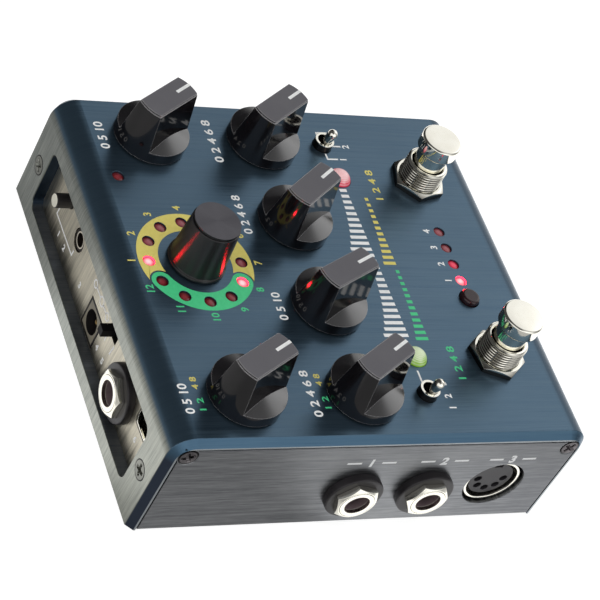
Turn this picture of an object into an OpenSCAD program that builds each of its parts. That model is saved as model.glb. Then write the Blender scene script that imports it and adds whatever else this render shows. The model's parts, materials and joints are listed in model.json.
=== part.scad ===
// Delay and reverb guitar pedal, in millimetres.
// X runs to the player's right, Y away from the player and Z up.
// The origin is the middle of the base.

/* [Case] */
// Length of the extruded shell between its two ends
case_w = 108; // [106:0.5:120]
// Depth from the front wall to the rear wall
case_d = 115; // [104:0.5:126]
// Height from the base to the top panel
case_h = 33.3; // [30:0.1:38]
// Radius of the two long top edges
edge_r = 6; // [5:0.1:6.5]
// Chamfer that runs round both ends of the shell
end_chamfer = 1.8; // [0.5:0.1:1.9]
// Thickness of the top panel
top_wall = 2.2; // [2:0.1:2.6]
// Thickness of the front and rear walls
side_wall = 3.2; // [2.8:0.1:3.6]
// Wall left beside each end plate
end_lip = 2.2; // [2:0.1:2.4]
// Sheet thickness of the base tray
plate_t = 2; // [1.5:0.1:2.2]
// Shadow gap round each end plate
plate_gap = 0.45; // [0.2:0.05:0.6]
// Radius of the end plates' top corners
plate_corner_r = 3; // [1:0.1:4]
// Radius of the bend between floor and end plate
bend_r = 0.8; // [0.3:0.1:1.4]
// Play between the tray's floor and the walls
tray_gap = 0.3; // [0.1:0.05:0.5]

/* [Case screws] */
// Shank radius
screw_r = 1.5; // [1.2:0.05:1.6]
// Head radius of the flat heads
screw_head_r = 2.65; // [2.3:0.05:2.8]
// Depth of the flat heads
screw_head_h = 1.3; // [0.8:0.1:1.4]
// Length of the screws in the end plates
screw_len = 9; // [6:0.5:14]
// Distance of the end screws from the front and rear faces
screw_inset = 4.8; // [4.6:0.1:5.2]
// Distance of the end screws below the top panel
screw_drop = 4.85; // [4.6:0.05:5.2]
// Radius of the screw ports along the shell's top corners
port_r = 2.8; // [2.4:0.1:2.9]
// Play round shanks and heads
screw_gap = 0.05; // [0.03:0.01:0.1]

/* [Rear window] */
// Width of the window in the rear wall
window_w = 86.4; // [84:0.2:87]
// Distance of the window's upper edge below the top panel
window_drop = 9.3; // [9:0.1:10]
// Height of the window's lower edge
window_z = 4.5; // [4:0.1:4.8]
// Corner radius of the window
window_r = 2.5; // [1:0.1:4]
// Thickness of the recessed connector panel
panel_t = 1.6; // [1.2:0.1:2]
// Overlap of the panel above the window
panel_lap = 1.2; // [0.8:0.1:1.2]
// Sideways distance of the panel screws from the middle
panel_screw_x = 47.1; // [46.6:0.1:47.4]
// Height of the panel screws above the window's middle
panel_screw_up = 0.25; // [-2:0.25:2]
// Length of the panel screws
panel_screw_len = 7; // [6:0.5:9]
// Depth of the sockets between panel and connector board
socket_l = 10; // [9:0.5:10]

/* [Boards] */
// Thickness of the circuit boards
board_t = 1.6; // [1.2:0.1:1.6]
// Space between the top panel and the control board
control_space = 6.8; // [6.6:0.1:7]
// Margin of the boards to the case
board_margin = 2; // [1:0.25:3]
// Play between a board and what passes through it
board_gap = 0.5; // [0.3:0.1:1]
// Radius of the board supports
support_r = 2.5; // [1.5:0.25:3]
// Length of the header that stacks the boards
header_l = 24; // [16:1:30]
// Width of the header
header_w = 5; // [4:0.5:6]
// Space between the header and the parts round it
chip_gap = 9; // [6:0.5:10]
// Side of the processor
chip_side = 14; // [10:0.5:16]
// Thickness of the chips
chip_t = 1.4; // [0.8:0.1:2]
// Width of the memory chip
memory_w = 8; // [6:0.5:9]
// Length of the memory chip
memory_l = 12; // [10:0.5:13]
// Radius of the storage capacitors
can_r = 3.2; // [2.5:0.1:3.5]
// Height of the storage capacitors
can_h = 7.5; // [5:0.5:8]

/* [Control places] */
// Sideways distance of the inner knobs
knob_in_x = 13.4; // [12:0.2:14]
// Sideways distance of the outer knobs
knob_out_x = 40.3; // [38:0.1:41]
// Distance of the rear row of knobs from the rear face
rear_row_inset = 21.5; // [20:0.1:23]
// Place of the middle row of knobs as a share of the half depth
mid_row_share = 0.0765; // [0.07:0.0005:0.12]
// Distance of the encoder and its light ring from the rear face
encoder_inset = 21.8; // [21.5:0.1:23]
// Radius of the light ring
ring_r = 12.4; // [11.5:0.1:12.8]
// Sideways distance of the foot switches
foot_x = 29.2; // [28.5:0.1:29.8]
// Distance of the foot switches and preset lights from the front face
foot_inset = 19.1; // [17.5:0.1:19.8]
// Distance of the status lights in front of the middle as a share of the half depth
status_share = 0.261; // [0.24:0.001:0.29]
// Sideways distance of the toggle switches
toggle_x = 40.5; // [39.5:0.1:41]
// Distance of the toggle switches in front of the middle as a share of the half depth
toggle_share = 0.24; // [0.21:0.001:0.26]
// Sideways place of the first preset light
preset_x = -4.65; // [-5:0.05:-4]
// Spacing of the preset lights
preset_step = 5.47; // [4.5:0.01:5.6]
// Sideways place of the select button
select_x = -10.6; // [-11.5:0.1:-10.4]
// Sideways place of the peak light
peak_x = 27; // [24:0.5:30]
// Distance of the peak light from the rear face
peak_inset = 9.2; // [8.9:0.1:11]

/* [Pointer knobs] */
// Radius of the round skirt
knob_r = 9.5; // [9:0.1:10]
// Height of the knob's flat top over the panel
knob_h = 14.9; // [14:0.1:16]
// Gap between skirt and panel
knob_lift = 0.5; // [0.3:0.1:0.8]
// Height of the upright skirt over the panel
skirt_h = 3.6; // [3.4:0.1:4]
// Rise of the half-moon shoulders from skirt to middle
shoulder_rise = 3.2; // [2.6:0.1:3.6]
// Half width of the bar at its top
bar_top = 3.47; // [3.2:0.01:3.8]
// Half width of the bar at its foot
bar_foot = 5; // [4.4:0.1:5.6]
// Radius of the bar's ends at the top
bar_end_r = 8.4; // [8:0.1:8.8]
// Thickness of the matt plate on the bar
cap_t = 0.5; // [0.3:0.1:0.8]
// Inset of the matt plate
cap_inset = 0.2; // [0.1:0.05:0.3]
// Width of the pointer line's groove
line_w = 1; // [0.6:0.1:1.2]
// Start of the pointer line from the middle
line_from = 3; // [2.5:0.1:5]
// Depth of the pointer line's groove
line_deep = 0.25; // [0.1:0.05:0.3]
// Pointer direction of the delay knob, from +X
delay_turn = -60; // [-65:1:235]
// Pointer direction of the mix knob
mix_turn = -56; // [-65:1:235]
// Pointer direction of the feedback knob
feedback_turn = -58; // [-65:1:235]
// Pointer direction of the tone knob
tone_turn = -63; // [-65:1:235]
// Pointer direction of the first control knob
first_turn = -53; // [-65:1:235]
// Pointer direction of the second control knob
second_turn = -55; // [-65:1:235]

/* [Shafts and bushings] */
// Radius of the knob shafts
shaft_r = 3; // [2.8:0.05:3.05]
// Height of the shafts over the panel
shaft_h = 11.5; // [9:0.25:12]
// Flat cut from the shafts' side
shaft_flat = 0.6; // [0.3:0.1:1]
// Radius of the threaded bushings
bushing_r = 3.5; // [3.4:0.05:3.6]
// Height of the bushings over the panel
bushing_h = 2.6; // [2.3:0.1:2.7]
// Running play of shafts and plungers
run_gap = 0.1; // [0.08:0.01:0.15]
// Play of a knob pushed on its shaft
push_gap = 0.03; // [0.02:0.01:0.05]
// Width across flats of the control nuts
nut_af = 10; // [9:0.2:10.4]
// Height of the control nuts
nut_h = 1.9; // [1.4:0.1:2]
// Radius of the hollow under the knobs
hollow_r = 6.4; // [6.3:0.05:6.5]
// Height of the hollow over the panel
hollow_h = 3; // [2.9:0.1:3.3]
// Side of the square pot bodies
pot_side = 10; // [9:0.25:11]

/* [Encoder] */
// Radius of the encoder knob's foot
encoder_foot_r = 7.45; // [7.35:0.05:7.8]
// Radius of the encoder knob's side above the foot
encoder_side_r = 7; // [6.9:0.05:7.2]
// Radius of the encoder knob's top
encoder_top_r = 5.9; // [5.5:0.05:6.2]
// Height of the foot flange
encoder_foot_h = 0.6; // [0.4:0.1:1]
// Depth of the groove below the top
encoder_groove = 0.25; // [0.1:0.05:0.4]
// Side of the square encoder body
encoder_side = 12.4; // [11:0.2:13]

/* [Lights] */
// Radius of the small round lights
light_r = 1.5; // [1.3:0.05:1.6]
// Depth of the small lights below the panel surface
light_sink = 0.25; // [0.1:0.05:0.5]
// Play of a light in its hole
light_gap = 0.06; // [0.04:0.01:0.1]
// Crown of the small lights
light_crown = 0.2; // [0.1:0.05:0.3]
// Radius of the status lenses
status_r = 3.1; // [2.8:0.05:3.3]
// Height of the status lenses over the panel
status_h = 2.3; // [1.6:0.1:2.8]

/* [Foot switches] */
// Corner radius of the hex nuts
foot_nut_r = 7.65; // [7.3:0.05:8]
// Height of the hex nuts
foot_nut_h = 2; // [1.6:0.1:2.4]
// Turn of the left nut
left_nut_turn = 8.3; // [0:0.1:60]
// Turn of the right nut
right_nut_turn = 45.8; // [0:0.1:60]
// Radius of the threaded bushing
foot_bush_r = 5.6; // [5.4:0.05:5.8]
// Height of the bushing over the panel
foot_bush_h = 7.5; // [6:0.1:8]
// Radius of the plunger's stem
stem_r = 4.3; // [4:0.05:4.4]
// Radius of the plunger's cap
plunger_r = 5.4; // [5.2:0.05:5.8]
// Height of the plunger over the panel
plunger_h = 16.3; // [16:0.1:17.5]
// Height of the plunger's cap
plunger_cap_h = 4.7; // [4:0.1:5.2]
// Bevel of the cap's top edge
plunger_bevel = 0.6; // [0.3:0.1:1]
// Travel of the plunger
plunger_travel = 2.5; // [1.5:0.1:2.6]
// Side of the square switch bodies
foot_body = 17; // [15:0.5:17.5]
// Depth of the switch bodies below the top panel
foot_body_h = 18; // [15:0.5:19]

/* [Toggle switches] */
// Radius of the toggle bushings
toggle_bush_r = 2.6; // [2.55:0.05:2.9]
// Height of the toggle bushings over the panel
toggle_bush_h = 2.2; // [1.6:0.1:2.4]
// Height of the lever tip over the panel when upright
toggle_tip_h = 7.4; // [6:0.1:9]
// Lean of the levers at rest and at the far stop
toggle_lean = 13; // [8:0.5:13]
// Radius of the lever at its tip
toggle_tip_r = 1.4; // [1.2:0.05:1.5]
// Radius of the lever at its pivot
toggle_neck_r = 1; // [0.8:0.05:1]
// Radius of the lever's pivot ball
toggle_ball_r = 1.45; // [1.2:0.05:1.45]
// Depth of the pivot below the panel surface
toggle_pivot = 0.8; // [0.5:0.1:1]
// Width of the toggle bodies along X
toggle_body_x = 8; // [7:0.25:9]
// Width of the toggle bodies along Y
toggle_body_y = 11; // [9:0.5:12]

/* [Small switches] */
// Radius of the select button
select_r = 2.6; // [2.2:0.05:2.8]
// Height of the select button over the panel
select_h = 1.4; // [0.8:0.1:2]
// Edge radius of the select button
select_round = 0.8; // [0.3:0.1:0.8]
// Travel of the select button
select_travel = 0.4; // [0.2:0.05:0.5]
// Height of the switch below the select button
tact_h = 3.2; // [2:0.1:3.2]
// Side of that switch
tact_side = 6; // [5:0.25:6]
// Sideways place of the rear push button
push_x = 31.6; // [31:0.1:33]
// Distance of the rear push button below the window's upper edge
push_drop = 5.4; // [5.2:0.1:6]
// Radius of the rear push button
push_r = 1.9; // [1.6:0.05:2]
// Length of the push button outside the panel
push_out = 4.6; // [4:0.1:5]
// Travel of the rear push button
push_travel = 1; // [0.5:0.1:1.2]
// Play of buttons in their holes
button_gap = 0.2; // [0.15:0.05:0.3]
// Side of the rear push switch
push_side = 6.4; // [6:0.1:6.6]
// Wall behind the push button's well
push_back = 4; // [3:0.5:5]
// Sideways place of the slide lever at rest
slide_x = -8.4; // [-8.6:0.1:-8.2]
// Distance of the slide lever below the window's upper edge
slide_drop = 6.5; // [6.2:0.1:6.8]
// Width of the slide lever
slide_w = 2.4; // [2:0.1:2.6]
// Height of the slide lever's section
slide_t = 2.2; // [1.8:0.1:2.4]
// Travel of the slide lever
slide_travel = 2.4; // [2:0.1:2.5]
// Length of the slide lever outside the panel
slide_out = 3.2; // [2.5:0.1:4]
// Rim of the slide switch body round the slot
slide_rim = 1; // [0.7:0.1:1.2]

/* [Jacks] */
// Sideways place of the rear jack
rear_jack_x = -23.7; // [-24.2:0.1:-23]
// Place of the jack collars in the window's height as a share of the free space
jack_seat_share = 0.156; // [0.1:0.002:0.26]
// Spacing of the two jacks and the round socket on each end
end_pitch = 20.1; // [19.5:0.1:20.5]
// Radius of the plug's bore
jack_bore_r = 3.25; // [3.2:0.01:3.3]
// Depth of the plug's bore from the wall's outer face
jack_bore_l = 24; // [20:0.5:24]
// Radius of the threaded sleeve
jack_sleeve_r = 4.4; // [4.1:0.05:4.5]
// Radius of the black collar
jack_collar_r = 7.5; // [7:0.1:7.8]
// Thickness of the collar
jack_collar_t = 2.1; // [1.5:0.1:2.6]
// Width across flats of the jack nuts
jack_nut_af = 10.2; // [9.8:0.1:11]
// Thickness of the jack nuts
jack_nut_t = 1.9; // [1.5:0.1:2.4]
// Chamfer of the jack nuts' outer corners
jack_nut_bevel = 0.5; // [0.2:0.1:0.6]
// Width of a jack body
jack_body_w = 14; // [12:0.5:14.5]
// Height of a jack body
jack_body_h = 12; // [10.5:0.25:12.2]
// Length of a jack body
jack_body_l = 24; // [24:0.5:25]
// Play of a sleeve in its hole
sleeve_gap = 0.06; // [0.04:0.01:0.1]

/* [Round sockets] */
// Distance of the round sockets from the front face
din_inset = 19.9; // [19.5:0.1:20.1]
// Space between the round sockets and the control board
din_gap = 0.5; // [0.4:0.1:0.8]
// Radius of the hole in the end plate
din_hole_r = 8.2; // [8:0.1:8.3]
// Outer radius of the metal shield
din_shield_r = 7.5; // [7.2:0.1:7.6]
// Thickness of the metal shield
din_shield_t = 0.5; // [0.4:0.1:0.7]
// Depth of the shield in the body
din_shield_l = 6; // [4:0.5:8]
// Step of the shield in front of the insert
din_shield_out = 0.7; // [0.4:0.1:1]
// Radius of the circle of pin holes
din_pin_circle = 3.75; // [3.4:0.05:4]
// Radius of the pin holes
din_pin_r = 0.8; // [0.6:0.05:0.9]
// Depth of the pin holes
din_pin_l = 7; // [5:0.5:8]
// Side of the square body
din_side = 16.6; // [16.4:0.1:16.8]
// Length of the body
din_l = 12; // [10:0.5:12.5]
// Width of the keyway
din_key = 2; // [1.4:0.1:2.4]

/* [Small sockets] */
// Sideways place of the small jack
mini_x = 20.9; // [20:0.1:22]
// Distance of the small jack below the window's upper edge
mini_drop = 7.8; // [7:0.1:9]
// Bore radius of the small jack
mini_bore_r = 1.8; // [1.77:0.01:1.85]
// Outer radius of the small jack's nose
mini_nose_r = 2.9; // [2.6:0.05:3.1]
// Depth of the small jack's bore
mini_bore_l = 9; // [7:0.5:9]
// Sink of the small jack's nose below the panel's face
nose_sink = 0.3; // [0:0.1:0.6]
// Side of the small jack's body
mini_side = 8; // [7:0.25:8.5]
// Play between a socket and the panel's cut-out
socket_gap = 0.2; // [0.1:0.05:0.3]
// Sideways place of the power socket
power_x = 0.5; // [0:0.1:1]
// Height of the power socket above the window's lower edge
power_rise = 4.9; // [4.7:0.1:5.3]
// Side of the power socket
power_side = 9; // [8:0.1:9.4]
// Bore radius of the power socket
power_bore_r = 3.2; // [2.9:0.05:3.4]
// Depth of the power socket's bore
power_bore_l = 9; // [7:0.5:9.5]
// Radius of the power socket's middle pin
power_pin_r = 1.05; // [0.9:0.05:1.25]
// Sideways place of the data socket
data_x = -36.2; // [-36.5:0.1:-36]
// Distance of the data socket's middle below the window's upper edge
data_drop = 7.3; // [6.6:0.1:8]
// Width of the data socket
data_w = 7.4; // [6.8:0.1:7.6]
// Height of the data socket
data_h = 4.2; // [3.8:0.1:4.4]
// Slope of the data socket's lower corners
data_slope = 0.8; // [0.4:0.1:1.2]
// Wall of the data socket
data_wall = 0.35; // [0.25:0.05:0.5]
// Thickness of the data socket's tongue
data_tongue = 0.9; // [0.7:0.1:1.1]

/* [Hidden] */
$fn = 64;
tiny = 0.01;
half_w = case_w / 2;
half_d = case_d / 2;
under_top = case_h - top_wall;
inner_d = case_d - 2 * side_wall;
plate_in_x = half_w - plate_t;
rebate_d = case_d - 2 * end_lip;
end_screw_y = half_d - screw_inset;
end_screw_z = case_h - screw_drop;
panel_y = half_d - side_wall;
panel_w = 2 * (panel_screw_x + screw_head_r + 1);
panel_z = plate_t + tray_gap;
window_top = case_h - window_drop;
window_h = window_top - window_z;
panel_top = window_top + panel_lap;
panel_screw_z = window_z + window_h / 2 + panel_screw_up;
push_z = window_top - push_drop;
slide_z = window_top - slide_drop;
mini_z = window_top - mini_drop;
data_z = window_top - data_drop;
power_z = window_z + power_rise;
jack_z = window_z + jack_collar_r + jack_seat_share * (window_h - 2 * jack_collar_r);
control_z = under_top - control_space;
din_z = control_z - board_t - din_gap - din_side / 2;
din_y = din_inset - half_d;
jack_b_y = din_y + end_pitch;
jack_a_y = jack_b_y + end_pitch;
knob_rear_y = half_d - rear_row_inset;
knob_mid_y = mid_row_share * half_d;
encoder_y = half_d - encoder_inset;
peak_y = half_d - peak_inset;
foot_y = foot_inset - half_d;
status_y = -status_share * half_d;
toggle_y = -toggle_share * half_d;
connector_board_y = panel_y - panel_t - socket_l;
main_z = jack_z - jack_body_h / 2;
board_w = 2 * (plate_in_x - board_margin);
control_d = inner_d - 2 * board_margin;
main_front = -inner_d / 2 + board_margin;
main_rear = connector_board_y - board_t - board_margin;
knob_places = [
    [-knob_out_x, knob_rear_y],
    [knob_out_x, knob_rear_y],
    [-knob_out_x, knob_mid_y],
    [-knob_in_x, knob_mid_y],
    [knob_in_x, knob_mid_y],
    [knob_out_x, knob_mid_y]
];
encoder_place = [0, encoder_y];
ring_count = 12;
ring_lit = [0, 7];
preset_count = 4;
status_dome_r = (status_r * status_r + status_h * status_h) / (2 * status_h);
light_dome_r = (light_r * light_r + light_crown * light_crown) / (2 * light_crown);
flange_h = 2;
flange_r = stem_r + 0.5;
stem_foot = under_top - run_gap - flange_h;
tact_top = control_z + tact_h;
select_foot = tact_top + select_travel + button_gap / 2;
select_flange_r = select_r + 0.7;
pivot_z = case_h - toggle_pivot;
toggle_bore_r = toggle_ball_r + run_gap;
toggle_rise = toggle_bush_h + toggle_pivot;
toggle_mouth_r = toggle_rise * tan(toggle_lean) + toggle_neck_r / cos(toggle_lean) + 0.25;
slide_slot_w = slide_travel + slide_w + 2 * button_gap;
slide_slot_x = slide_x - slide_travel / 2;
slide_slot_t = slide_t + 2 * button_gap;
case_blue = [0.32, 0.41, 0.48];
plate_grey = [0.44, 0.45, 0.47];
nickel = [0.8, 0.79, 0.76];
black = [0.06, 0.06, 0.07];
board_green = [0.08, 0.28, 0.16];

// Rectangle with rounded corners, centred.
module rounded_square(w, h, r) {
    square([w - 2 * r, h], center = true);
    square([w, h - 2 * r], center = true);
    for (sx = [-1, 1], sy = [-1, 1])
        translate([sx * (w / 2 - r), sy * (h / 2 - r)])
            circle(r);
}

// Rectangle on the base line whose two upper corners are rounded.
module arched_square(w, h, r) {
    translate([-w / 2, 0])
        square([w, h - r]);
    translate([-w / 2 + r, 0])
        square([w - 2 * r, h]);
    for (sx = [-1, 1])
        translate([sx * (w / 2 - r), h - r])
            circle(r);
}

// Profile in Y and Z drawn out along X between two stations.
module along_x(from, to) {
    translate([from, 0, 0])
        rotate([90, 0, 90])
            linear_extrude(to - from)
                children();
}

// Local frame of a fitting on an end plate: +Z points out of the case, +X points up.
module on_end(side, y, z) {
    mirror([side > 0 ? 1 : 0, 0, 0])
        translate([-half_w, y, z])
            rotate([0, -90, 0])
                children();
}

// Local frame of a fitting on the rear panel: +Z points out of the case, +Y points down.
module on_rear(x, z) {
    translate([x, panel_y, z])
        rotate([-90, 0, 0])
            children();
}

// Frames of the three kinds of jack place, with the wall each sits in.
module at_jacks() {
    for (side = [-1, 1], y = [jack_a_y, jack_b_y])
        on_end(side, y, jack_z)
            rotate([0, 0, 90])
                children(0);
    on_rear(rear_jack_x, jack_z)
        children(1);
}

module hex(af, h) {
    cylinder(r = af / (2 * cos(30)), h = h, $fn = 6);
}

// Flat-head screw, outer face at Z = 0, shank along -Z, enlarged by a play.
module flat_screw(length, play) {
    translate([0, 0, -screw_head_h])
        cylinder(r1 = screw_r + play, r2 = screw_head_r + play, h = screw_head_h);
    translate([0, 0, -length])
        cylinder(r = screw_r + play, h = length - screw_head_h + tiny);
}

module at_end_screws() {
    for (side = [-1, 1], sy = [-1, 1])
        on_end(side, sy * end_screw_y, end_screw_z)
            children();
}

module at_panel_screws() {
    for (sx = [-1, 1])
        translate([sx * panel_screw_x, half_d, panel_screw_z])
            rotate([-90, 0, 0])
                children();
}

// Outer form of the shell: chamfered slabs joined by tapered round edges.
module shell_form() {
    c = end_chamfer;
    mid_d = half_d - edge_r;
    translate([0, mid_d, 0])
        rotate([90, 0, 0])
            linear_extrude(2 * mid_d)
                polygon([
                    [-half_w, 0],
                    [half_w, 0],
                    [half_w, case_h - c],
                    [half_w - c, case_h],
                    [c - half_w, case_h],
                    [-half_w, case_h - c]
                ]);
    linear_extrude(case_h - edge_r)
        polygon([
            [-half_w, c - half_d],
            [c - half_w, -half_d],
            [half_w - c, -half_d],
            [half_w, c - half_d],
            [half_w, half_d - c],
            [half_w - c, half_d],
            [c - half_w, half_d],
            [-half_w, half_d - c]
        ]);
    for (sy = [-1, 1])
        translate([-half_w, sy * mid_d, case_h - edge_r])
            rotate([0, 90, 0])
                rotate_extrude()
                    polygon([
                        [0, 0],
                        [edge_r - c, 0],
                        [edge_r, c],
                        [edge_r, case_w - c],
                        [edge_r - c, case_w],
                        [0, case_w]
                    ]);
}

// Holes of everything that reaches through the top panel.
module top_holes() {
    deep = top_wall + 2;
    translate([0, 0, case_h - deep + 1]) {
        for (p = concat(knob_places, [encoder_place]))
            translate(p)
                cylinder(r = bushing_r + sleeve_gap, h = deep);
        for (i = [0:ring_count - 1])
            translate(ring_place(i))
                cylinder(r = light_r + light_gap, h = deep);
        for (i = [0:preset_count - 1])
            translate([preset_x + i * preset_step, foot_y])
                cylinder(r = light_r + light_gap, h = deep);
        translate([peak_x, peak_y])
            cylinder(r = light_r + light_gap, h = deep);
        translate([select_x, foot_y])
            cylinder(r = select_r + button_gap, h = deep);
        for (sx = [-1, 1]) {
            translate([sx * foot_x, foot_y])
                cylinder(r = foot_bush_r + sleeve_gap, h = deep);
            translate([sx * foot_x, status_y])
                cylinder(r = status_r + light_gap, h = deep);
            translate([sx * toggle_x, toggle_y])
                cylinder(r = toggle_bush_r + sleeve_gap, h = deep);
        }
    }
}

function ring_turn(i) = 90 - i * 360 / ring_count;
function ring_place(i) = [ring_r * cos(ring_turn(i)), encoder_y + ring_r * sin(ring_turn(i))];

module shell() {
    color(case_blue)
    difference() {
        union() {
            difference() {
                shell_form();
                along_x(-half_w - 1, half_w + 1)
                    translate([-inner_d / 2, -1])
                        square([inner_d, under_top + 1]);
            }
            intersection() {
                for (sy = [-1, 1])
                    along_x(-half_w, half_w)
                        translate([sy * end_screw_y, end_screw_z])
                            circle(port_r);
                shell_form();
            }
        }
        for (side = [-1, 1])
            along_x(side > 0 ? plate_in_x : -half_w - 1, side > 0 ? half_w + 1 : -plate_in_x)
                translate([0, -1])
                    arched_square(rebate_d, under_top + 1, plate_corner_r + plate_gap);
        at_end_screws()
            flat_screw(screw_len + 1, screw_gap);
        at_panel_screws()
            flat_screw(panel_screw_len, screw_gap);
        translate([0, half_d + 1, window_z + window_h / 2])
            rotate([90, 0, 0])
                linear_extrude(side_wall + 2)
                    rounded_square(window_w, window_h, window_r);
        top_holes();
    }
}

module base_tray() {
    floor_d = inner_d - 2 * tray_gap;
    plate_d = rebate_d - 2 * plate_gap;
    color(plate_grey)
    difference() {
        union() {
            translate([-half_w + bend_r, -floor_d / 2, 0])
                cube([case_w - 2 * bend_r, floor_d, plate_t]);
            for (side = [-1, 1]) {
                along_x(side > 0 ? plate_in_x : -half_w, side > 0 ? half_w : -plate_in_x)
                    translate([0, bend_r])
                        arched_square(plate_d, under_top - plate_gap - bend_r, plate_corner_r);
                translate([side * (half_w - bend_r), plate_d / 2, bend_r])
                    rotate([90, 0, 0])
                        cylinder(r = bend_r, h = plate_d);
                translate([side > 0 ? plate_in_x : -half_w + bend_r, -plate_d / 2, 0])
                    cube([plate_t - bend_r, plate_d, plate_t]);
            }
        }
        at_end_screws()
            flat_screw(plate_t + 1, screw_gap);
        for (side = [-1, 1]) {
            for (y = [jack_a_y, jack_b_y])
                on_end(side, y, jack_z)
                    translate([0, 0, -plate_t - 1])
                        cylinder(r = jack_sleeve_r + sleeve_gap, h = plate_t + 2);
            on_end(side, din_y, din_z)
                translate([0, 0, -plate_t - 1])
                    cylinder(r = din_hole_r, h = plate_t + 2);
        }
    }
}

module end_screws() {
    color(nickel)
        at_end_screws()
            flat_screw(screw_len, 0);
}

// Plate behind the rear window, with two threaded bosses for its screws.
module connector_panel() {
    color([0.48, 0.46, 0.44])
    difference() {
        union() {
            translate([-panel_w / 2, panel_y - panel_t, panel_z])
                cube([panel_w, panel_t, panel_top - panel_z]);
            at_panel_screws()
                translate([0, 0, -panel_screw_len])
                    cylinder(r = port_r, h = panel_screw_len - side_wall - panel_t / 2);
        }
        at_panel_screws()
            flat_screw(panel_screw_len + 1, screw_gap);
        on_rear(rear_jack_x, jack_z)
            translate([0, 0, -panel_t - 1])
                cylinder(r = jack_sleeve_r + sleeve_gap, h = panel_t + 2);
        on_rear(push_x, push_z)
            translate([0, 0, -panel_t - 1])
                cylinder(r = push_r + button_gap, h = panel_t + 2);
        on_rear(mini_x, mini_z)
            translate([0, 0, -panel_t - 1])
                cylinder(r = mini_nose_r + socket_gap, h = panel_t + 2);
        on_rear(power_x, power_z)
            translate([0, 0, -panel_t / 2])
                cube([power_side + 2 * socket_gap, power_side + 2 * socket_gap, panel_t + 2], center = true);
        on_rear(slide_slot_x, slide_z)
            translate([0, 0, -panel_t / 2])
                cube([slide_slot_w, slide_slot_t, panel_t + 2], center = true);
        on_rear(data_x, data_z)
            translate([0, 0, -panel_t - 1])
                linear_extrude(panel_t + 2)
                    data_outline(data_w + 2 * socket_gap, data_h + 2 * socket_gap);
    }
}

module panel_screws() {
    color(nickel)
        at_panel_screws()
            flat_screw(panel_screw_len, 0);
}

// Board under the top panel, open round the foot switches.
module control_board() {
    hole = foot_body + 2 * board_gap;
    color(board_green)
    difference() {
        translate([-board_w / 2, -control_d / 2, control_z - board_t])
            cube([board_w, control_d, board_t]);
        for (sx = [-1, 1])
            translate([sx * foot_x, foot_y, control_z])
                cube([hole, hole, 4 * board_t], center = true);
    }
}

// Board that carries the jacks, notched at the round sockets.
module main_board() {
    notch = din_side + 2 * board_gap;
    color(board_green)
    difference() {
        translate([-board_w / 2, main_front, main_z - board_t])
            cube([board_w, main_rear - main_front, board_t]);
        for (side = [-1, 1])
            on_end(side, din_y, 0)
                translate([0, -notch / 2, -plate_t - din_l - board_gap])
                    cube([case_h, notch, din_l + 2 * board_gap]);
    }
}

// Upright board that carries the sockets of the rear panel.
module connector_board() {
    jack_hole = [jack_body_w + 2 * board_gap, jack_body_h + 2 * board_gap, 4 * board_t];
    color(board_green)
    difference() {
        translate([-window_w / 2, connector_board_y - board_t, panel_z])
            cube([window_w, board_t, control_z - board_t - board_gap - panel_z]);
        on_rear(rear_jack_x, jack_z)
            translate([0, 0, -panel_t - socket_l])
                cube(jack_hole, center = true);
    }
}

module board_supports() {
    color("ivory")
        for (sx = [-1, 1], y = [main_front + 2 * support_r, main_rear - 2 * support_r])
            translate([sx * (plate_in_x - din_l - 3 * support_r), y, plate_t])
                cylinder(r = support_r, h = main_z - board_t - plate_t);
}

module stacking_header() {
    color(black)
        translate([-header_l / 2, -header_w, main_z])
            cube([header_l, header_w, control_z - board_t - main_z]);
}

// Processor, memory and two storage capacitors on the main board.
module board_chips() {
    color(black)
        translate([0, 0, main_z]) {
            translate([-chip_side / 2, chip_gap, 0])
                cube([chip_side, chip_side, chip_t]);
            translate([chip_gap, -header_w - chip_gap - memory_l, 0])
                cube([memory_w, memory_l, chip_t]);
            for (i = [1, 4])
                translate([-chip_gap - can_r, -header_w - chip_gap - i * can_r, 0])
                    cylinder(r = can_r, h = can_h);
        }
}

// Body and threaded bushing of a rotary control, bored for its shaft.
module rotary_body(p, side) {
    translate([p[0], p[1], control_z])
        difference() {
            union() {
                translate([-side / 2, -side / 2, 0])
                    cube([side, side, control_space]);
                cylinder(r = bushing_r, h = control_space + top_wall + bushing_h);
            }
            translate([0, 0, control_space / 2])
                cylinder(r = shaft_r + run_gap, h = case_h);
        }
}

module pot_bodies() {
    color([0.35, 0.42, 0.36])
        for (p = knob_places)
            rotary_body(p, pot_side);
}

module control_nuts() {
    color(nickel)
        for (p = concat(knob_places, [encoder_place]))
            translate([p[0], p[1], case_h])
                difference() {
                    hex(nut_af, nut_h);
                    translate([0, 0, -1])
                        cylinder(r = bushing_r + sleeve_gap, h = nut_h + 2);
                }
}

// Shaft with a flat, from the control's body up into the knob.
module shaft(p, turn, play) {
    foot = control_z + control_space / 2 + run_gap;
    top = case_h + shaft_h + play;
    flat_z = case_h + hollow_h;
    translate([p[0], p[1], 0])
        rotate([0, 0, turn])
            difference() {
                translate([0, 0, foot])
                    cylinder(r = shaft_r + play, h = top - foot);
                translate([-2 * shaft_r, shaft_r + play - shaft_flat, flat_z])
                    cube([4 * shaft_r, shaft_r, top]);
            }
}

module delay_shaft() { color(nickel) shaft(knob_places[0], delay_turn, 0); }
module mix_shaft() { color(nickel) shaft(knob_places[1], mix_turn, 0); }
module feedback_shaft() { color(nickel) shaft(knob_places[2], feedback_turn, 0); }
module tone_shaft() { color(nickel) shaft(knob_places[3], tone_turn, 0); }
module first_control_shaft() { color(nickel) shaft(knob_places[4], first_turn, 0); }
module second_control_shaft() { color(nickel) shaft(knob_places[5], second_turn, 0); }

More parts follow.
